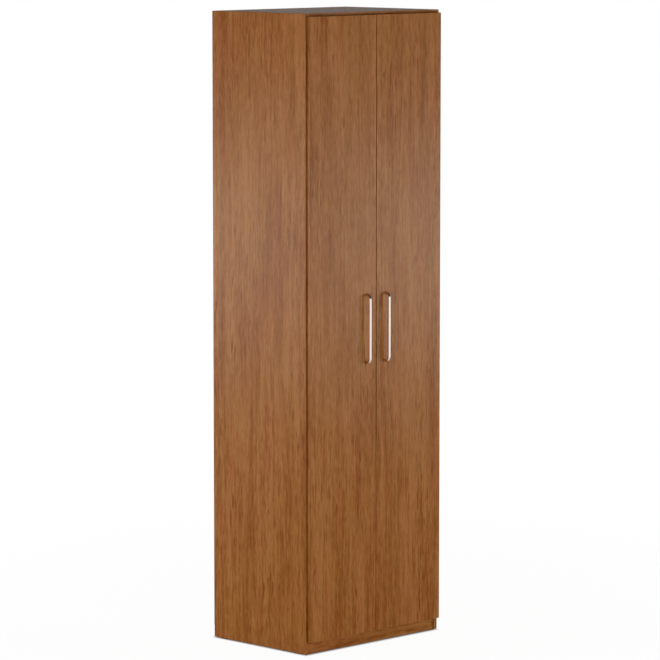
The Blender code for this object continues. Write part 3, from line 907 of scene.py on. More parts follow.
class ScrewWork(NodeWork):
    """Tree that drives a cross-headed screw at every point, facing as the point says."""

    SIDES = 28
    RIM_SHARE = 0.4
    CROWN_TOP = 0.66
    SHAFT_DROP = -0.499
    CROSS_LENGTH = 1.16
    CROSS_WIDTH = 0.26
    CROSS_LIFT = 0.95

    def __init__(self) -> None:
        """Builds the tree, which turns the cross of each screw at random."""
        super().__init__("screws_at_points")
        sizes = self.take("Float", "Head Radius", "Head Height", "Shaft Radius", "Shaft Length")
        [seed] = self.take("Int", "Seed")
        facing = self.node("GeometryNodeInputNamedAttribute", {"Name": "facing"}, data_type="FLOAT_VECTOR")
        aim = self.node("FunctionNodeAlignRotationToVector", {"Vector": facing[0]}, axis="Z")
        turn = self.node("FunctionNodeRandomValue", {3: math.pi / 2, "Seed": seed}, data_type="FLOAT")
        spin = self.node("FunctionNodeEulerToRotation", {0: self.vector(z=turn[1])})
        both = self.node("FunctionNodeRotateRotation", {0: aim[0], 1: spin[0]}, rotation_space="LOCAL")
        self.finish(self.copied(self.geometry, self.screw(*sizes), both[0]))

    def screw(self, radius: Feed, height: Feed, shaft_radius: Feed, shaft_length: Feed) -> Socket:
        """Builds one screw that stands on the ground plane with its shaft below.

        Args:
            radius: Radius of the head.
            height: Height of the head.
            shaft_radius: Radius of the shaft.
            shaft_length: Length of the shaft.

        Returns:
            The socket with the screw.
        """
        rim_height = self.math("MULTIPLY", height, self.RIM_SHARE)
        crown_height = self.math("MULTIPLY", height, 1 - self.RIM_SHARE)
        rim = self.cylinder(self.SIDES, radius, rim_height)
        crown = self.cone(self.SIDES, radius, self.CROWN_TOP, crown_height)
        shaft = self.cylinder(self.SIDES, shaft_radius, shaft_length)
        shapes = [
            self.raised(rim, self.math("MULTIPLY", rim_height, 0.5)),
            self.raised(crown, rim_height),
            self.raised(shaft, self.math("MULTIPLY", shaft_length, self.SHAFT_DROP)),
        ]
        body = self.node("GeometryNodeMeshBoolean", {"Mesh 2": shapes}, operation="UNION")[0]

        long, narrow = (self.math("MULTIPLY", radius, s) for s in (self.CROSS_LENGTH, self.CROSS_WIDTH))
        lift = self.math("MULTIPLY", height, self.CROSS_LIFT)
        sizes = (self.vector(long, narrow, height), self.vector(narrow, long, height))
        cross = [self.raised(self.node("GeometryNodeMeshCube", {"Size": size})[0], lift) for size in sizes]
        recess = {"Mesh 1": body, "Mesh 2": cross}
        return self.node("GeometryNodeMeshBoolean", recess, operation="DIFFERENCE")[0]


class RowWork(NodeWork):
    """Tree that repeats a piece up a row of even steps."""

    def __init__(self) -> None:
        """Builds the tree."""
        super().__init__("row_upwards")
        [count] = self.take("Int", "Count")
        first, step = (self.vector(z=size) for size in self.take("Float", "First Height", "Step"))
        line = {"Count": count, "Start Location": first, "Offset": step}
        self.finish(self.copied(self.node("GeometryNodeMeshLine", line)[0], self.geometry))


class NailWork(NodeWork):
    """Tree that sets nail heads at even steps along the edges of a drawn outline."""

    SIDES = 16
    CROWN_TOP = 0.7
    FACING_BACK = (-math.pi / 2, 0.0, 0.0)

    def __init__(self) -> None:
        """Builds the tree."""
        super().__init__("nails_along_edges")
        spacing, radius, height = self.take("Float", "Spacing", "Head Radius", "Head Height")
        outline = self.node("GeometryNodeMeshToCurve", {0: self.geometry})[0]
        even = {"Curve": outline, "Length": spacing}
        points = self.node("GeometryNodeResampleCurve", even, mode="LENGTH")[0]
        head = self.cone(self.SIDES, radius, self.CROWN_TOP, height)
        self.finish(self.copied(points, head, self.FACING_BACK))


class BowWork(NodeWork):
    """Tree that bends a round bar along a drawn line of straight legs."""

    def __init__(self) -> None:
        """Builds the tree."""
        super().__init__("bent_round_bar")
        bend, radius = self.take("Float", "Bend Radius", "Bar Radius")
        bend_steps, sides = self.take("Int", "Bend Steps", "Sides")
        line = self.node("GeometryNodeMeshToCurve", {0: self.geometry})[0]
        fillet = {"Curve": line, "Radius": bend, "Count": bend_steps}
        curved = self.node("GeometryNodeFilletCurve", fillet, mode="POLY")[0]
        ring = self.node("GeometryNodeCurvePrimitiveCircle", {"Resolution": sides, "Radius": radius})[0]
        bar = {"Curve": curved, "Profile Curve": ring, "Fill Caps": True}
        self.finish(self.node("GeometryNodeCurveToMesh", bar)[0])


def sheen_receivers() -> bpy.types.Collection:
    """Set of the laminated boards, on which the sheen lamps shine, made when first asked for."""
    name = "laminated_boards"
    return bpy.data.collections.get(name) or bpy.data.collections.new(name)


@dataclass(frozen=True)
class Workshop:
    """Finishes and node trees with which the pieces are made and put on the wardrobe."""

    finishes: dict[Slot, list[Material]] = field(default_factory=mixed_finishes)
    screws: ScrewWork = field(default_factory=ScrewWork)
    rows: RowWork = field(default_factory=RowWork)
    nails: NailWork = field(default_factory=NailWork)
    bows: BowWork = field(default_factory=BowWork)

    def place(self, mesh: Mesh, body: str, slot: Slot, nodes: Sequence[str] = ()) -> None:
        """Puts one finished piece on the wardrobe, under the name of its mesh.

        Args:
            mesh: Its mesh, already in place.
            body: Body that it moves with.
            slot: Material slot, whose materials the piece takes.
            nodes: Nodes of the frame that it stands for.
        """
        mesh.materials.clear()
        for material in self.finishes[slot]:
            mesh.materials.append(material)
        piece = linked(mesh.name, mesh)
        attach(piece, body)
        if nodes:
            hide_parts(*nodes)
        if slot is Slot.LAMINATE:
            sheen_receivers().objects.link(piece)
        LOG.info("%s: %d faces on %s", mesh.name, len(mesh.polygons), body)

    def make(
        self, node: str, way: str, slot: Slot, base: Form, *steps: tuple[Join, Form], easing: float = 0.0
    ) -> None:
        """Works up one piece of the carcass, named after its node and the way it is made."""
        mesh = worked(node, base, *steps, easing=easing)
        self.place(settled(mesh, f"{node}_{way}"), CARCASS, slot, [node])

    def drive(
        self,
        name: str,
        marks: Sequence[Mark],
        body: str,
        slot: Slot,
        size: ScrewSize,
        seed: int,
        nodes: Sequence[str] = (),
    ) -> None:
        """Drives a set of screws.

        Args:
            name: Name of the set.
            marks: Pairs of a place and the direction in which the head faces.
            body: Body that the screws move with.
            slot: Material slot, whose materials the screws take.
            size: Sizes of the screws.
            seed: Seed of the turns of their crosses.
            nodes: Nodes of the frame that they stand for.
        """
        mesh = bpy.data.meshes.new(f"{name}_marks")
        mesh.from_pydata([at for at, _ in marks], [], [])
        facings = mesh.attributes.new("facing", "FLOAT_VECTOR", "POINT")
        for item, (_, facing) in zip(facings.data, marks):
            item.vector = facing
        self.place(self.screws.run(name, mesh, seed=seed, **vars(size)), body, slot, nodes)


@dataclass
class Board:
    """One sawn board with laminate on its faces and bands on its edges."""

    FACING = 0.6
    EDGE_SLICE = 31.0
    FAR_SLICE = 7.0

    node: str
    body: str
    thin: Axis
    grain: Axis
    seed: float
    bare: tuple[tuple[Axis, int], ...] = ()
    drill: Form | None = None
    rounding: float = 0.0010

    def dress(self, shop: Workshop) -> None:
        """Saws the board to the frame's size, drills it, and gives each face its grain and finish.

        Args:
            shop: Workshop in which it is made.
        """
        blank = Form().box(*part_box(self.node), self.rounding)
        steps = [(Join.TAKE, self.drill)] if self.drill else []
        mesh = settled(worked(self.node, blank, *steps), f"{self.node}_laminated")
        self.lay_grain(mesh)
        for polygon in mesh.polygons:
            polygon.material_index = self.skin_of(polygon.normal)
        shop.place(mesh, self.body, Slot.LAMINATE, [self.node])

    def skin_of(self, normal: Vector) -> Skin:
        """Chooses a face's finish by the way it faces.

        Args:
            normal: Direction of the face.

        Returns:
            The finish of the face.
        """
        if abs(normal[self.thin]) > self.FACING:
            return Skin.LAMINATE
        if any(normal[axis] * sign > self.FACING for axis, sign in self.bare):
            return Skin.RAW
        return Skin.BAND

    def lay_grain(self, mesh: Mesh) -> None:
        """Writes how far each corner lies across and along the grain of its face.

        Args:
            mesh: Mesh of the board.
        """
        grain = mesh.attributes.new("grain", "FLOAT_VECTOR", "CORNER")
        for polygon in mesh.polygons:
            normal = polygon.normal
            facing = max(Axis, key=lambda axis: abs(normal[axis]))
            if facing is self.thin:
                along, slice_at = self.grain, self.seed
            else:
                along = next(axis for axis in Axis if axis not in (facing, self.thin))
                slice_at = self.seed + self.EDGE_SLICE
            across = next(axis for axis in Axis if axis not in (facing, along))
            slice_at += self.FAR_SLICE if normal[facing] > 0 else 0.0
            for corner in polygon.loop_indices:
                point = mesh.vertices[mesh.loops[corner].vertex_index].co
                grain.data[corner].vector = (point[across], point[along], slice_at)


@dataclass
class Carcass:
    """Fixed boards of the wardrobe, its back sheet, glides and shelf pins."""

    shop: Workshop
    pin_bore_radius: float = 0.0027
    pin_bore_depth: float = 0.0083
    pin_pitch: float = 0.032
    pin_holes_each_way: int = 2
    pin_shaft_radius: float = 0.0024
    pin_tip_radius: float = 0.00168
    pin_tip: float = 0.0007
    pin_head_radius: float = 0.0036
    pin_ease: float = 0.0008
    pin_sides: int = 28
    nail_inset: float = 0.008
    nail_spacing: float = 0.125
    nail_radius: float = 0.0021
    nail_height: float = 0.0004
    glide_ease: float = 0.0008
    glide_steps: int = 20

    def pin_holes(self, side: Side) -> Form:
        """Lays out the rows of shelf pin holes in one side panel.

        Args:
            side: Side of the panel.

        Returns:
            The form of all the holes.
        """
        drill = Form()
        start, end = -side.sign * OVERSHOOT, side.sign * self.pin_bore_depth
        for row in ROWS:
            middle = middle_of(f"{side.value}_{row}_shelf_pin")
            for step in range(-self.pin_holes_each_way, self.pin_holes_each_way + 1):
                centre = (inner_face(side), middle.y, middle.z + step * self.pin_pitch)
                drill.rod(self.pin_bore_radius, Axis.ACROSS, centre, start, end, HOLE_SIDES)
        return drill

    def dress_boards(self) -> None:
        """Builds the fixed boards in the order of assembly, each with a seed for its grain."""
        rear, under = (Axis.DEEP, 1), (Axis.UPRIGHT, -1)
        for side, seed in ((Side.LEFT, 3.4), (Side.RIGHT, 151.9)):
            node, holes = f"{side.value}_side_panel", self.pin_holes(side)
            Board(node, CARCASS, Axis.ACROSS, Axis.UPRIGHT, seed, (rear, under), holes).dress(self.shop)
        for node, thin, seed, bare in (
            ("bottom_panel", Axis.UPRIGHT, 203.1, rear),
            ("top_panel", Axis.UPRIGHT, 257.7, rear),
            ("plinth_board", Axis.DEEP, 301.3, under),
            ("rear_plinth_board", Axis.DEEP, 349.9, under),
            ("hat_shelf", Axis.UPRIGHT, 402.5, rear),
        ):
            Board(node, CARCASS, thin, Axis.ACROSS, seed, (bare,)).dress(self.shop)

    def dress_back(self) -> None:
        """Finishes the back sheet and nails it on."""
        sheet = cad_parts["back_panel"]
        for slot in sheet.material_slots:
            [slot.material] = self.shop.finishes[Slot.HARDBOARD]
        LOG.info("back_panel: finished as it is")
        low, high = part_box("back_panel")
        left, right = low.x + self.nail_inset, high.x - self.nail_inset
        foot, head = low.z + self.nail_inset, high.z - self.nail_inset
        outline = bpy.data.meshes.new("nail_line")
        corners = [(left, foot), (right, foot), (right, head), (left, head)]
        outline.from_pydata([(x, high.y, z) for x, z in corners], [(0, 1), (1, 2), (2, 3), (3, 0)], [])
        mesh = self.shop.nails.run(
            "back_sheet_nails",
            outline,
            spacing=self.nail_spacing,
            head_radius=self.nail_radius,
            head_height=self.nail_height,
        )
        self.shop.place(mesh, CARCASS, Slot.STEEL)

    def dress_pin(self, side: Side, row: str) -> None:
        """Turns one shelf pin.

        Args:
            side: Side of the pin.
            row: Row of the pin.
        """
        node = f"{side.value}_{row}_shelf_pin"
        low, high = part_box(node)
        inner, outer = (low.x, high.x) if side is Side.RIGHT else (high.x, low.x)
        out, ease, head = side.sign, self.pin_ease, self.pin_head_radius
        shoulder = inner_face(side) - out * FIT
        profile = [
            (self.pin_tip_radius, outer),
            (self.pin_shaft_radius, outer - out * self.pin_tip),
            (self.pin_shaft_radius, shoulder),
            (head, shoulder),
            *((head - ease + r, inner + out * (ease + a)) for r, a in arc((0, 0), ease, 0, -90)),
        ]
        pin = Form().turned(profile, Axis.ACROSS, (0.0, *middle_of(node).yz), self.pin_sides)
        self.shop.make(node, "turned", Slot.STEEL, pin)

    def dress_glide(self, side: Side, row: str) -> None:
        """Moulds one floor glide.

        Args:
            side: Side of the glide.
            row: Row of the glide.
        """
        node = f"{side.value}_{row}_glide"
        low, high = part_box(node)
        half = (high - low) / 2
        outline = round_ended(middle_of(node).xy, half.y, half.x, self.glide_steps)
        blank = Form().prism(outline, Axis.UPRIGHT, low.z, high.z)
        self.shop.make(node, "moulded", Slot.PLASTIC, blank, easing=self.glide_ease)

    def dress(self) -> None:
        """Builds every fixed board and what belongs to it."""
        self.dress_boards()
        self.dress_back()
        for dress_small in (self.dress_pin, self.dress_glide):
            for side in Side:
                for row in ROWS:
                    dress_small(side, row)


@dataclass
class HangingRail:
    """Round rail and the two screwed sockets that hold it."""

    shop: Workshop
    rail_wall: float = 0.0012
    lip: float = 0.0003
    flange_radius: float = 0.0225
    flange: float = 0.003
    socket_wall: float = 0.003
    socket_length: float = 0.014
    socket_floor: float = 0.0015
    ease: float = 0.0008
    screw: ScrewSize = ScrewSize(0.0027, 0.0014, 0.00144, 0.0024)
    screw_hole_radius: float = 0.0016
    screw_hole_sides: int = 16
    sides: int = 64

    def __post_init__(self) -> None:
        """Takes the rail's place from the frame."""
        low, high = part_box("hanging_rail")
        self.middle = (low + high) / 2
        self.radius = (high.z - low.z) / 2
        self.collar = self.radius + FIT + self.socket_wall
        screw_line = (self.collar + self.flange_radius) / 2
        self.screw_heights = (self.middle.z - screw_line, self.middle.z + screw_line)

    def dress_rail(self) -> None:
        """Draws the tube of the rail."""
        low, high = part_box("hanging_rail")
        outer, inner, lip = self.radius, self.radius - self.rail_wall, self.lip
        profile = [
            (outer - lip, low.x),
            (outer, low.x + lip),
            (outer, high.x - lip),
            (outer - lip, high.x),
            (inner, high.x),
            (inner, low.x),
        ]
        centre = (0.0, *self.middle.yz)
        tube = Form().turned(profile, Axis.ACROSS, centre, self.sides, tube=True)
        self.shop.make("hanging_rail", "tube", Slot.CHROME, tube)

    def dress_socket(self, side: Side) -> None:
        """Turns one socket and drills its flange.

        Args:
            side: Side of the socket.
        """
        bore, collar, ease = self.radius + FIT, self.collar, self.ease
        profile = [
            (self.flange_radius, FIT),
            *arc((self.flange_radius - ease, self.flange - ease), ease, 0, 90),
            *arc((collar + ease, self.flange + ease), ease, 270, 180),
            *arc((collar - ease, self.socket_length - ease), ease, 0, 90),
            (bore, self.socket_length),
            (bore, self.socket_floor),
        ]
        inwards = [(r, -side.sign * a) for r, a in profile]
        face, reach = inner_face(side), 2 * OVERSHOOT
        holes = Form()
        for z in self.screw_heights:
            at = (face, self.middle.y, z)
            holes.rod(self.screw_hole_radius, Axis.ACROSS, at, -reach, reach, self.screw_hole_sides)
        socket = Form().turned(inwards, Axis.ACROSS, (face, *self.middle.yz), self.sides)
        self.shop.make(f"{side.value}_rail_socket", "turned", Slot.CHROME, socket, (Join.TAKE, holes))

    def dress(self) -> None:
        """Builds the rail, its sockets and their screws."""
        self.dress_rail()
        marks = []
        for side in Side:
            self.dress_socket(side)
            x = inner_face(side) - side.sign * self.flange
            facing = Vector((-side.sign, 0, 0))
            marks += [(Vector((x, self.middle.y, z)), facing) for z in self.screw_heights]
        self.shop.drive("rail_socket_screws", marks, CARCASS, Slot.NICKEL, self.screw, seed=11)


@dataclass
class CupHinges:
    """Concealed hinges of one door: plates and arms on the carcass, links, and cups in the door."""

    CUP_PIN_SIDES = 20
    ARM_PIN_SIDES = 24
    EYE_SIDES = 28
    HOLLOW_STEPS = 6
    NOSE_STEPS = 20

    shop: Workshop
    side: Side
    count: int = 4
    end: float = 0.100
    door_reveal: float = 0.006
    board: float = 0.016
    door_gap: float = 0.002
    bore_radius: float = 0.0175
    cup_tab: float = 0.0035
    cup_depth: float = 0.0115
    cup_wall: float = 0.0016
    cup_floor: float = 0.0012
    cup_corner: float = 0.001
    cup_rim: float = 0.0009
    rim_overlap: float = 0.0008
    floor_chamfer: float = 0.0015
    wing_offset: float = 0.0095
    wing_half_width: float = 0.007
    wing_inset: float = 0.0001
    wing_screw: float = 0.0225
    screw: ScrewSize = ScrewSize(0.0035, 0.0013, 0.00189, 0.0008)
    screw_hole_radius: float = 0.0021
    cup_pin_edge: float = 0.0085
    cup_pin_depth: float = 0.0036
    cup_pin_radius: float = 0.001
    link_back: float = 0.0036
    link_thickness: float = 0.0022
    link_eye_wall: float = 0.0009
    link_bow_at_cup: Point = (0.0, -0.0072)
    link_bow_at_arm: Point = (0.0090, -0.0064)
    link_steps: int = 20
    arm_pin_radius: float = 0.0012
    arm_nose: float = 0.0042
    nose_clearance: float = 0.00205
    arm_sheet: float = 0.0012
    arm_width: float = 0.014
    arm_length: float = 0.064
    arm_drop: float = 0.0064
    arm_flat_front: float = 0.010
    arm_slope_end: float = 0.026
    arm_screw_backs: Point = (0.034, 0.053)
    cheek_knee: float = 0.006
    cheek_end: float = 0.016
    plate_base: float = 0.002
    plate_front: float = 0.012
    plate_rear: float = 0.060
    plate_half_width: float = 0.008
    plate_screw_line: float = 0.037
    plate_screw_spread: float = 0.016
    plate_wing_radius: float = 0.0065
    plate_rail_half_width: float = 0.0052
    plate_rail_ease: float = 0.0006
    sides: int = 48

    def __post_init__(self) -> None:
        """Works out the hinge points from the sizes and the frame."""
        panel_low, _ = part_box(f"{self.side.value}_side_panel")
        door_low, door_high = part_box(f"{self.side.value}_door")
        self.inner_face = self.side.sign * inner_face(self.side)
        self.front = panel_low.y
        self.door_back = door_high.y
        self.first = door_low.z + self.end
        self.step = (door_high.z - door_low.z - 2 * self.end) / (self.count - 1)
        self.heights = [self.first + i * self.step for i in range(self.count)]
        edge_in = self.door_reveal - self.board
        self.cup_in = edge_in + self.cup_tab + self.bore_radius
        self.cup_radius = self.bore_radius - FIT
        self.hollow = self.cup_radius - self.cup_wall
        self.cup_pin = Vector((edge_in + self.cup_pin_edge, -self.door_gap - self.cup_pin_depth))
        tip = math.sqrt((self.hollow - self.nose_clearance) ** 2 - (self.arm_width / 2) ** 2)
        self.arm_pin = Vector((self.cup_in + tip - self.arm_nose, self.cup_pin.y + self.link_back))
        self.arm_rear_top = self.arm_pin.x - self.arm_drop
        self.rail_top = self.arm_rear_top - self.arm_sheet - FIT
        self.wing_screws = (-self.wing_screw, self.wing_screw)
        self.plate_screws = (-self.plate_screw_spread, self.plate_screw_spread)

    def x(self, inwards: float) -> float:
        """World X of a distance inwards from the side panel."""
        return self.side.sign * (self.inner_face - inwards)

    def at(self, point: Sequence[float]) -> Point:
        """World X and Y of a point given as inwards and back."""
        return (self.x(point[0]), self.front + point[1])

    def cup_holes(self) -> Form:
        """Lays out the holes for the cups in the door.

        Returns:
            The form of all the holes.
        """
        drill = Form()
        for z in self.heights:
            centre = (self.x(self.cup_in), self.door_back, z)
            floor = -self.cup_depth - FIT
            drill.rod(self.bore_radius, Axis.DEEP, centre, floor, OVERSHOOT, self.sides)
        return drill

    def cup(self) -> Mesh:
        """Presses the cup with its rim and wings, and sets the pin across its mouth.

        Returns:
            The mesh of a cup at height zero.
        """
        centre = (self.x(self.cup_in), self.door_back, 0.0)
        radius, rim, top = self.cup_radius, self.bore_radius + self.rim_overlap, FIT + self.cup_rim
        floor, inner_floor = -self.cup_depth, self.cup_floor - self.cup_depth
        corner, chamfer = self.cup_corner, self.floor_chamfer
        outside = [
            *arc((radius - corner, floor + corner), corner, 270, 360),
            (radius, FIT),
            (rim, FIT),
            (rim, top),
        ]
        hollow = [
            *arc((self.hollow - chamfer, inner_floor + chamfer), chamfer, 270, 360, self.HOLLOW_STEPS),
            (self.hollow, top + OVERSHOOT),
        ]
        wing_x = self.x(self.cup_in + self.wing_offset)
        outline = round_ended((wing_x, 0.0), self.wing_screw + self.wing_half_width, self.wing_half_width)
        under, over = (self.door_back + y for y in (FIT + self.wing_inset, top - self.wing_inset))
        wing = Form().prism(outline, Axis.DEEP, under, over)
        cuts = Form().turned(hollow, Axis.DEEP, centre, self.sides)
        for up in self.wing_screws:
            at = (wing_x, self.door_back, up)
            cuts.rod(self.screw_hole_radius, Axis.DEEP, at, -OVERSHOOT / 2, OVERSHOOT, HOLE_SIDES)
        reach = (radius - self.cup_wall / 2) ** 2 - (self.cup_in - self.cup_pin.x) ** 2
        chord = math.sqrt(reach) - FIT
        pin_at = (*self.at(self.cup_pin), 0.0)
        pin = Form().rod(self.cup_pin_radius, Axis.UPRIGHT, pin_at, -chord, chord, self.CUP_PIN_SIDES)
        pressed = Form().turned(outside, Axis.DEEP, centre, self.sides)
        return worked("cup", pressed, (Join.ADD, wing), (Join.TAKE, cuts), (Join.ADD, pin))

    def link(self) -> Mesh:
        """Bends the link from the cup's pin to the arm's pin, with an eye at each end.

        Returns:
            The mesh of a link at height zero.
        """
        start, end = self.cup_pin, self.arm_pin
        along = (end - start).normalized()
        across = Vector((-along.y, along.x))
        bows = (self.link_bow_at_cup, self.link_bow_at_arm)
        first, second = (start + along * bow[0] + across * bow[1] for bow in bows)
        upper, lower = [], []
        for i in range(self.link_steps + 1):
            t = i / self.link_steps
            s = 1 - t
            point = s**3 * start + 3 * s * s * t * first + 3 * s * t * t * second + t**3 * end
            ahead = s * s * (first - start) + 2 * s * t * (second - first) + t * t * (end - second)
            ahead.normalize()
            off = Vector((-ahead.y, ahead.x)) * self.link_thickness / 2
            upper.append(self.at(point + off))
            lower.append(self.at(point - off))
        eye_at_cup = self.cup_pin_radius + FIT + self.link_eye_wall
        corner = self.cup_in - start.x + eye_at_cup + FIT
        half = math.sqrt(self.hollow**2 - corner**2)
        bar_half = half - self.link_eye_wall / 2
        bar = Form().prism(upper + lower[::-1], Axis.UPRIGHT, -bar_half, bar_half)
        eyes, holes = Form(), Form()
        for point, pin_radius in ((start, self.cup_pin_radius), (end, self.arm_pin_radius)):
            centre = (*self.at(point), 0.0)
            hole = pin_radius + FIT
            eyes.rod(hole + self.link_eye_wall, Axis.UPRIGHT, centre, -half, half, self.EYE_SIDES)
            holes.rod(hole, Axis.UPRIGHT, centre, -2 * half, 2 * half, self.ARM_PIN_SIDES)
        return worked("link", bar, (Join.ADD, eyes), (Join.TAKE, holes))

    def arm(self) -> Mesh:
        """Folds the channel of the arm and sets the pin across its nose.

        Returns:
            The mesh of an arm at height zero.
        """
        nose_top = self.arm_pin.x + self.arm_nose
        nose_under = self.arm_pin.x - self.arm_nose
        foot = self.plate_base + FIT + self.arm_sheet
        outline = [
            *arc(self.arm_pin, self.arm_nose, 360, 180, self.NOSE_STEPS),
            (nose_under, self.cheek_knee),
            (foot, self.cheek_end),
            (foot, self.arm_length),
            (self.arm_rear_top, self.arm_length),
            (self.arm_rear_top, self.arm_slope_end),
            (nose_top, self.arm_flat_front),
        ]
        ahead, beyond = self.arm_pin.y - 2 * self.arm_nose, self.arm_length + self.board
        sheet = self.arm_sheet
        channel = [
            (-self.board, ahead),
            (nose_top - sheet, ahead),
            (nose_top - sheet, self.arm_flat_front),
            (self.arm_rear_top - sheet, self.arm_slope_end),
            (self.arm_rear_top - sheet, beyond),
            (-self.board, beyond),
        ]
        half = self.arm_width / 2
        body = Form().prism([self.at(p) for p in outline], Axis.UPRIGHT, -half, half)
        inside = Form().prism([self.at(p) for p in channel], Axis.UPRIGHT, sheet - half, half - sheet)
        centre = (*self.at(self.arm_pin), 0.0)
        reach = half - sheet / 2
        pin = Form().rod(self.arm_pin_radius, Axis.UPRIGHT, centre, -reach, reach, self.ARM_PIN_SIDES)
        return worked("arm", body, (Join.TAKE, inside), (Join.ADD, pin))

    def plate(self) -> Mesh:
        """Casts the cross-shaped mounting plate with the rail under the arm.

        Returns:
            The mesh of a plate at height zero.
        """
        front, rear = self.front + self.plate_front, self.front + self.plate_rear
        line = self.front + self.plate_screw_line
        face, top = self.x(FIT), self.x(FIT + self.plate_base)
        wing_half = self.plate_screw_spread + self.plate_wing_radius
        wing_line = round_ended((line, 0.0), wing_half, self.plate_wing_radius)
        wings = Form().prism(wing_line, Axis.ACROSS, face, top)
        # No face of the spine or the rail lies in a face of the wings, so that they join cleanly.
        inset = self.side.sign * self.plate_base / 9
        half, rail_half = self.plate_half_width, self.plate_rail_half_width
        corners = [(front, -half), (rear, -half), (rear, half), (front, half)]
        spine = Form().prism(corners, Axis.ACROSS, face - inset, top + inset)
        margin = half - rail_half
        low, high = sorted((top + 4 * inset, self.x(self.rail_top)))
        rail_low, rail_high = (low, front + margin, -rail_half), (high, rear - margin, rail_half)
        rail = Form().box(rail_low, rail_high, self.plate_rail_ease, EASE_STEPS)
        holes = Form()
        for up in self.plate_screws:
            at = (face, line, up)
            holes.rod(self.screw_hole_radius, Axis.ACROSS, at, -OVERSHOOT, OVERSHOOT, HOLE_SIDES)
        return worked("plate", wings, (Join.ADD, spine), (Join.ADD, rail), (Join.TAKE, holes))

    def carcass_screws(self) -> list[Mark]:
        """Lists the screws of the plates and arms.

        Returns:
            Pairs of a place and the direction in which the head faces.
        """
        facing = Vector((-self.side.sign, 0, 0))
        plate_at = self.at((FIT + self.plate_base, self.plate_screw_line))
        arm_places = [self.at((self.arm_rear_top, back)) for back in self.arm_screw_backs]
        marks = []
        for z in self.heights:
            marks += [(Vector((*plate_at, z + up)), facing) for up in self.plate_screws]
            marks += [(Vector((*arm_at, z)), facing) for arm_at in arm_places]
        return marks

    def door_screws(self) -> list[Mark]:
        """Lists the screws of the cups.

        Returns:
            Pairs of a place and the direction in which the head faces.
        """
        x = self.x(self.cup_in + self.wing_offset)
        y = self.door_back + FIT + self.cup_rim - self.wing_inset
        facing = Vector((0, 1, 0))
        return [(Vector((x, y, z + up)), facing) for z in self.heights for up in self.wing_screws]

    def dress(self) -> None:
        """Builds the hinges of this door and drives their screws."""
        word = self.side.value
        for part, mesh, body in (
            ("plate", self.plate(), CARCASS),
            ("arm", self.arm(), CARCASS),
            ("link", self.link(), self.side.links),
            ("cup", self.cup(), self.side.door),
        ):
            name = f"{word}_hinge_{part}"
            sizes = {"count": self.count, "first_height": self.first, "step": self.step}
            nodes = [f"{name}_{number}" for number in range(1, self.count + 1)]
            self.shop.place(self.shop.rows.run(f"{name}s", mesh, **sizes), body, Slot.NICKEL, nodes)
        for part, marks, body, seed in (
            ("plate", self.carcass_screws(), CARCASS, 23),
            ("cup", self.door_screws(), self.side.door, 37),
        ):
            self.shop.drive(f"{word}_hinge_{part}_screws", marks, body, Slot.STEEL, self.screw, seed)


@dataclass
class Door:
    """One overlay door with its bow handle and the screws that hold it."""

    shop: Workshop
    side: Side
    seed: float
    hinges: CupHinges
    handle_radius: float = 0.005
    handle_bend: float = 0.0165
    screw_bore_radius: float = 0.0023
    screw_head_radius: float = 0.0043
    screw_head_height: float = 0.0024
    screw_shaft_radius: float = 0.002
    bar_sides: int = 40
    bend_steps: int = 14

    def __post_init__(self) -> None:
        """Finds the two handle screws."""
        self.screws = [f"{self.side.value}_{end}_handle_screw" for end in ("upper", "lower")]
        self.screw_places = [middle_of(node) for node in self.screws]

    def dress_board(self) -> None:
        """Saws, drills and finishes the door."""
        drill, reach = self.hinges.cup_holes(), 4 * OVERSHOOT
        for at in self.screw_places:
            drill.rod(self.screw_bore_radius, Axis.DEEP, at, -reach, reach, HOLE_SIDES)
        node = f"{self.side.value}_door"
        board = Board(node, self.side.door, Axis.DEEP, Axis.UPRIGHT, self.seed, drill=drill)
        board.dress(self.shop)

    def dress_handle(self) -> None:
        """Bends the bow handle."""
        node = f"{self.side.value}_handle"
        low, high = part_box(node)
        x, out = (low.x + high.x) / 2, low.y + self.handle_radius
        head, foot = high.z - self.handle_radius, low.z + self.handle_radius
        line = bpy.data.meshes.new(f"{node}_line")
        points = [(x, high.y, head), (x, out, head), (x, out, foot), (x, high.y, foot)]
        line.from_pydata(points, [(0, 1), (1, 2), (2, 3)], [])
        mesh = self.shop.bows.run(
            f"{node}_bow",
            line,
            bend_radius=self.handle_bend,
            bar_radius=self.handle_radius,
            bend_steps=self.bend_steps,
            sides=self.bar_sides,
        )
        self.shop.place(mesh, self.side.door, Slot.CHROME, [node])

    def dress_screws(self) -> None:
        """Drives the handle's screws from inside the door."""
        low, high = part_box(self.screws[0])
        under = high.y - self.screw_head_height
        head = (self.screw_head_radius, self.screw_head_height)
        size = ScrewSize(*head, self.screw_shaft_radius, under - low.y)
        marks = [(Vector((at.x, under, at.z)), Vector((0, 1, 0))) for at in self.screw_places]
        name = f"{self.side.value}_handle_screws"
        self.shop.drive(name, marks, self.side.door, Slot.STEEL, size, seed=5, nodes=self.screws)

    def dress(self) -> None:
        """Builds the door and its handle."""
        self.dress_board()
        self.dress_handle()
        self.dress_screws()


class Role(Enum):
    """What a lamp does, with the colour of its light.

    One kind lights the paint and the print, and isn't mirrored. The other is mirrored softly in
    the laminate, and lights nothing else.
    """

    LIGHT = (1.0, 1.0, 1.0)
    SHEEN = (0.91, 1.0, 0.97)


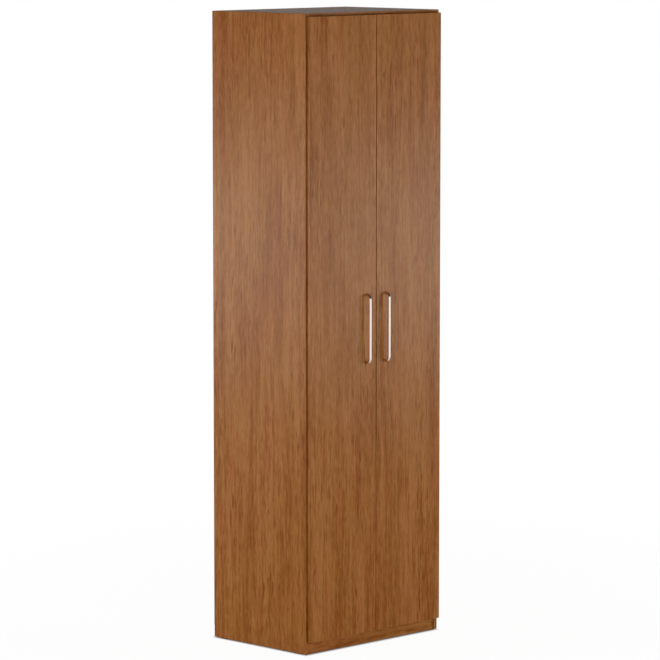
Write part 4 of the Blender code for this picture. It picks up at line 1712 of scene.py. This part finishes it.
@dataclass(frozen=True)
class Lamp:
    """One soft rectangular lamp."""

    name: str
    role: Role
    at: Place
    aim: Place
    width: float
    height: float
    power: float

    def hang(self) -> None:
        """Hangs the lamp, out of the camera's sight."""
        light = bpy.data.lights.new(self.name, "AREA")
        light.shape = "RECTANGLE"
        light.size, light.size_y, light.energy = self.width, self.height, self.power
        light.color = self.role.value
        lamp = linked(self.name, light)
        lamp.location = self.at
        lamp.rotation_euler = (Vector(self.aim) - Vector(self.at)).to_track_quat("-Z", "Y").to_euler()
        lamp.visible_camera = False
        lamp.visible_glossy = self.role is Role.SHEEN
        lamp.visible_diffuse = self.role is Role.LIGHT
        if self.role is Role.SHEEN:
            lamp.light_linking.receiver_collection = sheen_receivers()


@dataclass
class Studio:
    """White room with soft lamps, and the camera at the viewing angle."""

    camera_at: Place = (-10.010, -9.9885, 2.829)
    camera_pitch: float = -6.687
    camera_heading: float = -45.066
    lens: float = 204.86
    sensor: float = 36.0
    floor_radius: float = 14.0
    floor_sides: int = 96
    fill: float = 0.30
    overhead: float = 0.05
    overhead_rise: Point = (0.014, 0.19)
    lamps: tuple[Lamp, ...] = (
        Lamp("key_lamp", Role.LIGHT, (10.79, -5.51, 1.30), (0.0, -0.24, 1.10), 3.6, 1.6, 770.0),
        Lamp("side_lamp", Role.LIGHT, (-4.13, 4.68, 0.75), (-0.35, 0.0, 0.85), 3.2, 0.8, 216.0),
        Lamp("front_lamp", Role.LIGHT, (-4.40, -4.40, 0.80), (-0.2, -0.1, 0.90), 3.0, 1.6, 124.0),
        Lamp("foot_lamp", Role.LIGHT, (0.20, -1.90, 0.30), (0.10, -0.24, 0.25), 1.6, 0.4, 2.0),
        Lamp("front_sheen", Role.SHEEN, (4.615, -3.418, 0.97), (0.0, -0.24, 1.10), 2.90, 1.1, 81.0),
        Lamp("side_sheen", Role.SHEEN, (-3.878, 4.372, 1.02), (-0.35, 0.0, 1.00), 3.0, 1.0, 81.0),
    )

    def set_camera(self) -> None:
        """Puts up the camera."""
        data = bpy.data.cameras.new("camera")
        data.sensor_width, data.lens = self.sensor, self.lens
        camera = linked("camera", data)
        camera.location = self.camera_at
        tilt, heading = math.radians(90 + self.camera_pitch), math.radians(self.camera_heading)
        camera.rotation_euler = (tilt, 0.0, heading)
        bpy.context.scene.camera = camera

    def lay_floor(self) -> None:
        """Lays the pale floor."""
        form = bmesh.new()
        bmesh.ops.create_circle(form, cap_ends=True, radius=self.floor_radius, segments=self.floor_sides)
        mesh = bpy.data.meshes.new("floor")
        form.to_mesh(mesh)
        form.free()
        mesh.materials.append(PaleFloor().material())
        floor = linked("floor", mesh)

    def set_world(self) -> None:
        """Sets the white surroundings: bright where they are seen, dim as a light, darker overhead."""
        world = bpy.data.worlds.new("studio")
        world.use_nodes = True
        bench = Bench(world.node_tree)
        direction = bench.parts(bench.node("ShaderNodeTexCoord")["Generated"])
        overhead = bench.fade(direction[Axis.UPRIGHT], *self.overhead_rise)
        direct, mirrored = bench.sight()
        dimmed = bench.math("MULTIPLY", bench.math("MULTIPLY", overhead, mirrored), 1.0 - self.overhead)
        soft, white = (
            bench.node("ShaderNodeBackground", {"Color": (1.0,) * 4, "Strength": strength})[0]
            for strength in (self.fill, bench.math("SUBTRACT", 1.0, dimmed))
        )
        bench.blended("World", bench.math("MAXIMUM", direct, mirrored), soft, white)
        bpy.context.scene.world = world

    def set_up(self) -> None:
        """Puts up the whole studio."""
        bpy.context.scene.view_settings.view_transform = "Standard"
        self.set_camera()
        self.lay_floor()
        self.set_world()
        for lamp in self.lamps:
            lamp.hang()
        LOG.info("studio: %d lamps", len(self.lamps))


def main() -> None:
    """Builds the finished wardrobe and its studio."""
    logging.basicConfig(level=logging.INFO, format="%(name)s: %(message)s")
    shop = Workshop()
    Studio().set_up()
    Carcass(shop).dress()
    HangingRail(shop).dress()
    for side, seed in ((Side.LEFT, 57.2), (Side.RIGHT, 98.6)):
        hinges = CupHinges(shop, side)
        Door(shop, side, seed, hinges).dress()
        hinges.dress()


if __name__ == "__main__":
    main()
